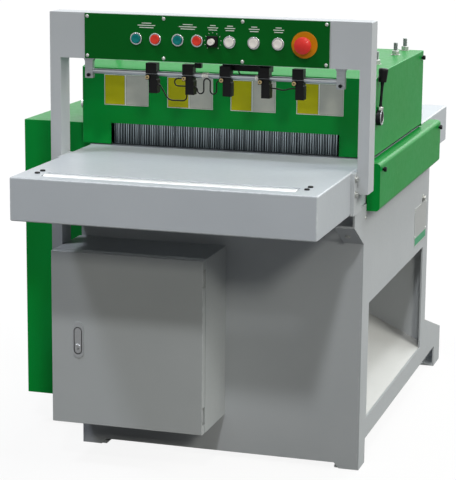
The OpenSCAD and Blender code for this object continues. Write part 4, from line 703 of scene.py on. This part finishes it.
# %% Rail fittings
SOCKET_HEAD = [(0, 2.6), (2.0, 2.6), (2.1, 5.0), (3.8, 5.0), (4.3, 4.5), (4.3, 0)]
BAND = [(6.1, 0), (7.2, 0.2), (7.4, 0.6), (7.4, 4.2), (7.2, 4.6), (6.1, 4.8), (6.1, 0)]
TIE_LOCK = Vector((0.4, -10.4, -2.5)) * MM, Vector((4.4, -6.8, 2.5)) * MM
TIE_PLACES, RAIL_HEIGHT = (-19, -13.5, -8, 113, 118.5), 0.974
HANGER_INSET, HANGER_RISE = 14 * MM, 8 * MM
rail_low, rail_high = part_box("laser_rail")
bm = bmesh.new()
for x in (rail_low.x + HANGER_INSET, rail_high.x - HANGER_INSET):
    turned(bm, SOCKET_HEAD, Vector((x, rail_low.y, rail_low.z + HANGER_RISE)), AHEAD, 24)
hanger_screws = finish_piece("hanger_screws", bm, [black_oxide], "machine")
bm = bmesh.new()
for x in TIE_PLACES:
    place = Vector((x * MM, (rail_low.y + rail_high.y) / 2, RAIL_HEIGHT))
    turned(bm, BAND, place, ACROSS, 28)
    box_piece(bm, place + TIE_LOCK[0], place + TIE_LOCK[1], 0.5)
ties = finish_piece("cable_ties", bm, [tie_nylon], "machine")
print(hanger_screws.name, ties.name, len(ties.data.polygons), "faces")

# %% [markdown]
# ## The lift lever
# A lever beside the hood turns the finger shaft: a hub, a bright collar, a waisted stem and a flared grip.
# It could be one sculpted mesh, but the real parts are turned, so each is spun, the stem and grip along the lever's
# own leaning line, and all of them ride on the shaft.

# %% Lever
SHAFT_END = Vector((0.3765, -0.4545, 0.870))
LEAN = Vector((0.0435, 0.0698, 0.9966)).normalized()
STEM = [(0, 12), (5.6, 12), (5.6, 24), (4.2, 26), (3.6, 34), (3.2, 58), (3.6, 76), (4.6, 84), (5.0, 88), (0, 88)]
COLLAR = [(5.7, 17.5), (7.2, 18), (7.4, 19), (7.4, 25), (7.0, 26), (5.7, 26.4), (5.7, 17.5)]
GRIP = [(0, 86), (8.6, 86), (9.4, 86.8), (9.8, 91), (10.6, 101), (11.7, 112), (11.8, 115), (11.0, 118),
        (8.5, 119.6), (0, 120)]
HUB = [(12.8, -5.5), (19, -5.5), (19, 4.6), (18.2, 5.6), (14.6, 5.9), (14.2, 5.4), (0, 5.7)]
RIM = [(14.8, 5.2), (18.3, 5.2), (18.3, 6.1), (17.6, 6.6), (15.4, 6.6), (14.8, 6.1), (14.8, 5.2)]
lever_parts = (
    ("lever_stem", STEM, LEAN, black_oxide, "dark_steel"), ("lever_collar", COLLAR, LEAN, zinc, "zinc"),
    ("lever_grip", GRIP, LEAN, black_plastic, "black_plastic"),
    ("lever_hub", HUB, ACROSS, black_plastic, "black_plastic"), ("lever_rim", RIM, ACROSS, die_cast, "zinc"),
)
for name, profile, axis, material, slot in lever_parts:
    bm = bmesh.new()
    turned(bm, profile, SHAFT_END, axis, 40)
    piece = finish_piece(name, bm, [material], "lift_shaft")
    if name == "lever_stem":
        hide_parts("finger_lever")
    print(name, len(piece.data.polygons), "faces")

# %% [markdown]
# ## Fluted knobs
# Black star knobs hold the covers. A knob is turned with many steps, and every third column of its rim is drawn
# towards the axis, which leaves finger flutes; that is quicker than cutting them with booleans.

# %% Knobs
KNOB = [(0, 0), (3.6, 0), (3.6, 3.0), (5.4, 3.2), (6.0, 3.9), (6.0, 8.8), (5.2, 9.8), (3.0, 10.0), (0, 9.7)]
KNOB_STEPS, FLUTE_EVERY, FLUTE_SHARE, RIM_START = 24, 3, 0.86, 5 * MM
bm = bmesh.new()
for low, high in bodies_of("cover_knobs"):
    place = Vector((low.x, (low.y + high.y) / 2, (low.z + high.z) / 2))
    old = set(bm.verts)
    turned(bm, KNOB, place, ACROSS, KNOB_STEPS)
    flutes = []
    for vert in [v for v in bm.verts if v not in old]:
        spoke = vert.co - place
        column = round(math.atan2(spoke.z, spoke.y) / (2 * math.pi) * KNOB_STEPS)
        if column % FLUTE_EVERY == 0 and spoke.yz.length > RIM_START:
            flutes.append(vert)
    bmesh.ops.scale(bm, verts=flutes, vec=(1, FLUTE_SHARE, FLUTE_SHARE), space=Matrix.Translation(-place))
knobs = finish_piece("fluted_knobs", bm, [black_plastic], "machine")
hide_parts("cover_knobs")
print(knobs.name, len(knobs.data.polygons), "faces")

# %% [markdown]
# ## Threaded studs
# The pressure carriers hang on studs that come through the hood's top, each with a washer and nuts.
# A thread could be a bump, but its outline shows against the sky. The spin operator with a rise at every step makes
# the real spiral; it is then cut level at both ends, and the cuts are filled. The first stud is copied to the others.

# %% Thread
STUD_RADIUS, PITCH_RISE, THREAD_STEPS, ROOT_SHARE = 6.0, 1.9 * MM, 14, 0.84
RIDGE = [(ROOT_SHARE, 0), (1, 0.38), (1, 0.52), (ROOT_SHARE, 0.9), (ROOT_SHARE, 1)]
THREAD_DEPTH = 13 * MM
stud_boxes = bodies_of("pressure_studs")
first_low, first_high = stud_boxes[0]
axis_place = Vector(((first_low.x + first_high.x) / 2, (first_low.y + first_high.y) / 2, 0))
hood_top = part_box("saw_hood")[1].z
thread_low, thread_high = hood_top - THREAD_DEPTH, first_high.z
bm = bmesh.new()
start = axis_place + UP * (thread_low - 2 * PITCH_RISE)
made = [bm.verts.new(start + Vector((r * STUD_RADIUS * MM, 0, h * PITCH_RISE))) for r, h in RIDGE]
edges = [bm.edges.new(pair) for pair in zip(made, made[1:])]
turns = math.ceil((thread_high - thread_low) / PITCH_RISE) + 4
bmesh.ops.spin(bm, geom=made + edges, cent=start, axis=UP, dvec=(0, 0, PITCH_RISE / THREAD_STEPS),
               angle=2 * math.pi * turns, steps=THREAD_STEPS * turns)
bmesh.ops.remove_doubles(bm, verts=bm.verts, dist=MERGE)
for height, facing in ((thread_high, UP), (thread_low, -UP)):
    geom = bm.verts[:] + bm.edges[:] + bm.faces[:]
    bmesh.ops.bisect_plane(bm, geom=geom, dist=1e-8, plane_co=(0, 0, height), plane_no=facing, clear_outer=True)
bmesh.ops.holes_fill(bm, edges=[e for e in bm.edges if e.is_boundary], sides=0)
bmesh.ops.recalc_face_normals(bm, faces=bm.faces)
print("thread:", turns, "turns,", len(bm.faces), "faces")

# %% Studs
HEX_NUT = [(0, 0), (9.3, 0), (10.5, 0.9), (10.5, 9.3), (9.3, 10.2), (0, 10.2)]
WASHER = [(0, 0), (12.2, 0), (12.5, 0.3), (12.5, 1.2), (12.2, 1.5), (0, 1.5)]
WASHER_THICK, INNER_NUT_DROP = 1.5 * MM, 13.2 * MM
shank = (thread_low - first_low.z) / MM
turned(bm, [(0, 0), (STUD_RADIUS, 0), (STUD_RADIUS, shank), (0, shank)], axis_place + UP * first_low.z, UP, 24)
turned(bm, WASHER, axis_place + UP * hood_top, UP, 28, 1)
for height in (first_low.z, hood_top - INNER_NUT_DROP, hood_top + WASHER_THICK):
    turned(bm, HEX_NUT, axis_place + UP * height, UP, 6, 1)
whole = bm.verts[:] + bm.edges[:] + bm.faces[:]
for low, high in stud_boxes[1:]:
    copy = bmesh.ops.duplicate(bm, geom=whole)["geom"]
    shift = Vector(((low.x + high.x) / 2, (low.y + high.y) / 2, 0)) - axis_place
    bmesh.ops.translate(bm, verts=[v for v in copy if isinstance(v, bmesh.types.BMVert)], vec=shift)
studs = finish_piece("threaded_studs", bm, [stud_steel, zinc], "machine")
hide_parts("pressure_studs")
print(studs.name, len(studs.data.polygons), "faces")

# %% [markdown]
# ## Right wall: plate, rivets and earth bolt
# A bare aluminium plate with a green foot is riveted to the right wall, below a plated earth bolt, and a small
# pan-head screw sits under the front end of the side cover. The plate could be a picture on the wall, but its rim
# throws a line of shade, so it is a block whose outer face is inset, and the foot is a strip of film.

# %% Wall plate
RIVET = [(0, 1.7), (1.4, 1.5), (2.3, 0.8), (2.5, 0)]
PLATE_Y, PLATE_Z, PLATE_RISE, RIM_WIDTH, RIM_SINK = (0.100, 0.262), (0.434, 0.543), 1.0 * MM, 3 * MM, 0.3 * MM
FOOT_Y, FOOT_Z, FOOT_LOW, FOOT_HIGH = (0.104, 0.258), (0.438, 0.458), 0.6 * MM, 0.95 * MM
RIVET_Y, RIVET_Z = (0.106, 0.256), (0.4625, 0.537)
wall_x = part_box("side_walls")[1].x
bm = bmesh.new()
box_piece(bm, (wall_x, PLATE_Y[0], PLATE_Z[0]), (wall_x + PLATE_RISE, PLATE_Y[1], PLATE_Z[1]), 0.3)
outer = [f for f in bm.faces if f.normal.x > 0.99 and f.calc_area() > 1e-3]
bmesh.ops.inset_region(bm, faces=outer, thickness=RIM_WIDTH, depth=-RIM_SINK)
box_piece(bm, (wall_x + FOOT_LOW, FOOT_Y[0], FOOT_Z[0]), (wall_x + FOOT_HIGH, FOOT_Y[1], FOOT_Z[1]), 0.0, 1)
for y in RIVET_Y:
    for z in RIVET_Z:
        turned(bm, RIVET, Vector((wall_x + FOOT_LOW, y, z)), ACROSS, 16)
plate = finish_piece("wall_plate", bm, [plate_aluminium, film_green], "machine")
print(plate.name, len(plate.data.polygons), "faces")

# %% Earth bolt
EARTH_WASHER = [(0, 0), (10.6, 0), (11, 0.4), (11, 1.6), (10.6, 2), (0, 2)]
EARTH_HEAD = [(0, 2), (7.4, 2), (8.0, 2.6), (8.0, 6.2), (7.2, 7.0), (0, 7.0)]
EARTH_Y, EARTH_Z, COVER_SCREW_Y, COVER_SCREW_Z = 0.212, 0.554, -0.528, 0.636
earth_place = Vector((wall_x, EARTH_Y, EARTH_Z))
bm = bmesh.new()
turned(bm, EARTH_WASHER, earth_place, ACROSS, 32)
turned(bm, EARTH_HEAD, earth_place, ACROSS, 6)
turned(bm, PAN_HEAD, Vector((wall_x, COVER_SCREW_Y, COVER_SCREW_Z)), ACROSS, 24)
earth_bolt = finish_piece("earth_bolt", bm, [zinc], "machine")
print(earth_bolt.name, len(earth_bolt.data.polygons), "faces")

# %% [markdown]
# ## Lock shade ring and roller caps
# A thin black ring of painted shade outlines the pocket of the door lock, a black disc of painted shade is the
# round keyhole of its button, and black caps close the screws at the ends of the idler roller. The ring is oblong.
# A curve could draw it, but here a short edge is spun half round, extruded straight, spun and extruded again until it
# closes, and then gets its thickness.

# %% Lock shade ring
POCKET_HALF, POCKET_TOP, POCKET_FOOT = 9.5 * MM, 357 * MM, 291 * MM
SHADE_RING_WIDTH, SHADE_RING_RISE, HALF_STEPS = 1.3 * MM, 0.2 * MM, 12
lock_low, lock_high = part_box("lock_case")
lock_x = (lock_low.x + lock_high.x) / 2
upper, lower = POCKET_TOP - POCKET_HALF, POCKET_FOOT + POCKET_HALF
bm = bmesh.new()
ends = [bm.verts.new((lock_x + r, lock_low.y, upper)) for r in (POCKET_HALF, POCKET_HALF + SHADE_RING_WIDTH)]
tip = [*ends, bm.edges.new(ends)]
for centre, far in ((upper, lower), (lower, upper)):
    tip = bmesh.ops.spin(bm, geom=tip, cent=(lock_x, lock_low.y, centre), axis=AHEAD, angle=math.pi,
                         steps=HALF_STEPS)["geom_last"]
    side = bmesh.ops.extrude_edge_only(bm, edges=[e for e in tip if isinstance(e, bmesh.types.BMEdge)])["geom"]
    tip = [g for g in side if not isinstance(g, bmesh.types.BMFace)]
    bmesh.ops.translate(bm, verts=[v for v in tip if isinstance(v, bmesh.types.BMVert)], vec=(0, 0, far - centre))
bmesh.ops.remove_doubles(bm, verts=bm.verts, dist=2 * MERGE)
bmesh.ops.recalc_face_normals(bm, faces=bm.faces)
bmesh.ops.solidify(bm, geom=bm.faces[:], thickness=-SHADE_RING_RISE)
bmesh.ops.recalc_face_normals(bm, faces=bm.faces)
outer_y = min(v.co.y for v in bm.verts)
bmesh.ops.translate(bm, verts=bm.verts, vec=(0, lock_low.y - SHADE_RING_RISE - outer_y, 0))
# The ring takes the black rubber as painted shade along the pocket's edge.
shade_ring = finish_piece("lock_shade_ring", bm, [black_rubber_and_shade], "door")
print(shade_ring.name, len(shade_ring.data.polygons), "faces")

# %% Keyhole shade and roller caps
KEYHOLE, KEYHOLE_HEIGHT = [(0, 0.15), (1.7, 0.15), (1.7, 0)], 0.303
ROLLER_CAP = [(0, 3.4), (4.6, 3.4), (5.8, 2.9), (6.3, 2.0), (6.3, 0)]
CAP_X, CAP_Y = (-0.3195, 0.3195), (-0.9295, -0.8975)
bm = bmesh.new()
# The keyhole is a black disc: painted shade of the hole.
turned(bm, KEYHOLE, Vector((lock_x, lock_low.y, KEYHOLE_HEIGHT)), AHEAD, 20)
keyhole_shade = finish_piece("lock_keyhole_shade", bm, [print_and_shade_black], "door_button")
table_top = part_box("infeed_table")[1].z
bm = bmesh.new()
for x in CAP_X:
    for y in CAP_Y:
        turned(bm, ROLLER_CAP, Vector((x, y, table_top)), UP, 24)
roller_caps = finish_piece("roller_caps", bm, [black_plastic], "machine")
print(keyhole_shade.name, roller_caps.name, len(roller_caps.data.polygons), "faces")

# %% [markdown]
# ## Cover screws
# Low button-head screws close the belt cover's outer face. An array modifier could repeat one, but a loop puts them
# where the cover's own box says: two rows along its upper and lower folds, each head with a six-sided recess whose
# black floor is painted shade.

# %% Cover screws
BUTTON_HEAD = [(0, 1.4), (1.9, 1.4), (2.0, 2.6), (3.4, 2.3), (4.6, 1.2), (5.0, 0)]
BUTTON_RECESS, ROW_SCREWS, END_INSET, FOLD_INSET = (1.8, 1.45), 4, 0.025, 0.022
cover_low, cover_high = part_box("belt_cover")
spacing = (cover_high.y - cover_low.y - 2 * END_INSET) / (ROW_SCREWS - 1)
bm = bmesh.new()
for k in range(ROW_SCREWS):
    for z in (cover_low.z + FOLD_INSET, cover_high.z - FOLD_INSET):
        head = Vector((cover_low.x, cover_low.y + END_INSET + k * spacing, z))
        screw(bm, BUTTON_HEAD, BUTTON_RECESS, head, -ACROSS, 20, 6)
cover_screws = finish_piece("cover_screws", bm, [zinc, print_and_shade_black], "machine")
print(cover_screws.name, len(cover_screws.data.polygons), "faces")

# %% [markdown]
# ## Floor and sky
# A catalogue picture stands on a white sweep. The floor is a large plane, white to the camera but still grey enough
# in the shade to keep the machine's shadow, and the sky is white to the camera but gives only a faint light.
# More lamps could whiten them, but then the machine would be too bright, so the kind of ray decides.

# %% Rays
def background_rays(owner, mirror_share):
    """Camera rays, and all rays that see the background: camera, clear bodies and a share of reflections."""
    path = add_node(owner, "ShaderNodeLightPath")
    mirrored = add_node(owner, "ShaderNodeMath", {1: mirror_share}, {0: path.outputs["Is Glossy Ray"]},
                        operation="MULTIPLY")
    direct = add_node(owner, "ShaderNodeMath", {}, {0: path.outputs["Is Camera Ray"], 1: mirrored.outputs[0]},
                      operation="MAXIMUM")
    seen = add_node(owner, "ShaderNodeMath", {}, {0: direct.outputs[0], 1: path.outputs["Is Transmission Ray"]},
                    operation="MAXIMUM")
    return path.outputs["Is Camera Ray"], seen.outputs[0]


# %% Floor
FLOOR_HALF, FLOOR_DROP, FLOOR_MIRROR, FLOOR_GLOW = 30, 0.5 * MM, 0.15, 0.9
bm = bmesh.new()
bmesh.ops.create_grid(bm, x_segments=1, y_segments=1, size=FLOOR_HALF)
bmesh.ops.translate(bm, verts=bm.verts, vec=(0, 0, -FLOOR_DROP))
mesh = bpy.data.meshes.new("studio_floor")
bm.to_mesh(mesh)
bm.free()
floor = new_object("studio_floor", mesh)
white_floor, shader, place = start_material("studio_white", Roughness=0.9, Specular_IOR_Level=0.1)
to_camera, seen = background_rays(white_floor, FLOOR_MIRROR)
pale = add_node(white_floor, "ShaderNodeMix", {FIRST: linear("#6a6a6a"), SECOND: linear("#e4e4e4")},
                {FACTOR: to_camera}, data_type="RGBA")
glow = add_node(white_floor, "ShaderNodeEmission", {"Strength": 1.0})
share = add_node(white_floor, "ShaderNodeMath", {1: FLOOR_GLOW}, {0: seen}, operation="MULTIPLY")
both = add_node(white_floor, "ShaderNodeMixShader", {},
                {0: share.outputs[0], 1: shader.outputs[0], 2: glow.outputs[0]})
feed(white_floor, shader, Base_Color=pale.outputs[MIXED])
feed(white_floor, white_floor.node_tree.nodes["Material Output"], Surface=both.outputs[0])
mesh.materials.append(white_floor)
floor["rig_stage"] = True
print("floor:", 2 * FLOOR_HALF, "m wide")

# %% Sky
SKY_TINT, SKY_STRENGTH, SKY_MIRROR = (0.96, 0.98, 1.0, 1), 0.05, 1.0
sky = bpy.data.worlds.new("studio_sky")
scene.world = sky
sky.use_nodes = True
dim = sky.node_tree.nodes["Background"]
dim.inputs["Color"].default_value = SKY_TINT
dim.inputs["Strength"].default_value = SKY_STRENGTH
bright = add_node(sky, "ShaderNodeBackground", {"Color": (1, 1, 1, 1)})
mix = add_node(sky, "ShaderNodeMixShader", {},
               {0: background_rays(sky, SKY_MIRROR)[1], 1: dim.outputs[0], 2: bright.outputs[0]})
feed(sky, sky.node_tree.nodes["World Output"], Surface=mix.outputs[0])
scene.view_settings.view_transform = "Standard"
print("sky strength:", SKY_STRENGTH)

# %% [markdown]
# ## Lamps
# Broad lamps from the right and the rear light the right side and the tops. A narrow one high on the left throws the
# beam's shadow on the table and a strip of light on the cabinet, and two narrow ones from the front throw the
# table's double shadow on the base. Area lamps would fall off along the machine, so each is a sun with a direction,
# a strength, a width in degrees, which softens its shadow, and a tint.

# %% Lamps
lamps = {
    "broad_side": ((0.77, 0.02, 0.64), 2.1, 40, (1.0, 0.985, 0.93)),
    "rear_high": ((0.2, 0.75, 0.65), 2.15, 50, (0.96, 1.0, 0.99)),
    "front_high": ((-0.32, -0.3, 0.9), 1.2, 10, (0.95, 0.97, 1.08)),
    "front_edge": ((0.25, -1.0, 1.1), 0.9, 4.5, (1.0, 1.0, 1.0)),
    "front_low": ((0.54, -1.0, 0.52), 0.68, 7, (1.0, 0.97, 0.88)),
}
for name, (towards, energy, width, tint) in lamps.items():
    lamp = bpy.data.lights.new(name, "SUN")
    lamp.energy = energy
    lamp.angle = math.radians(width)
    lamp.color = tint
    sun = new_object(name, lamp)
    sun.rotation_mode = "QUATERNION"
    sun.rotation_quaternion = Vector(towards).to_track_quat("Z", "Y")
print("lamps:", len(lamps))

# %% [markdown]
# ## Measure and finish
# The dressed machine has to keep the size of its solids, so its box is measured.

# %% Finish
low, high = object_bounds()
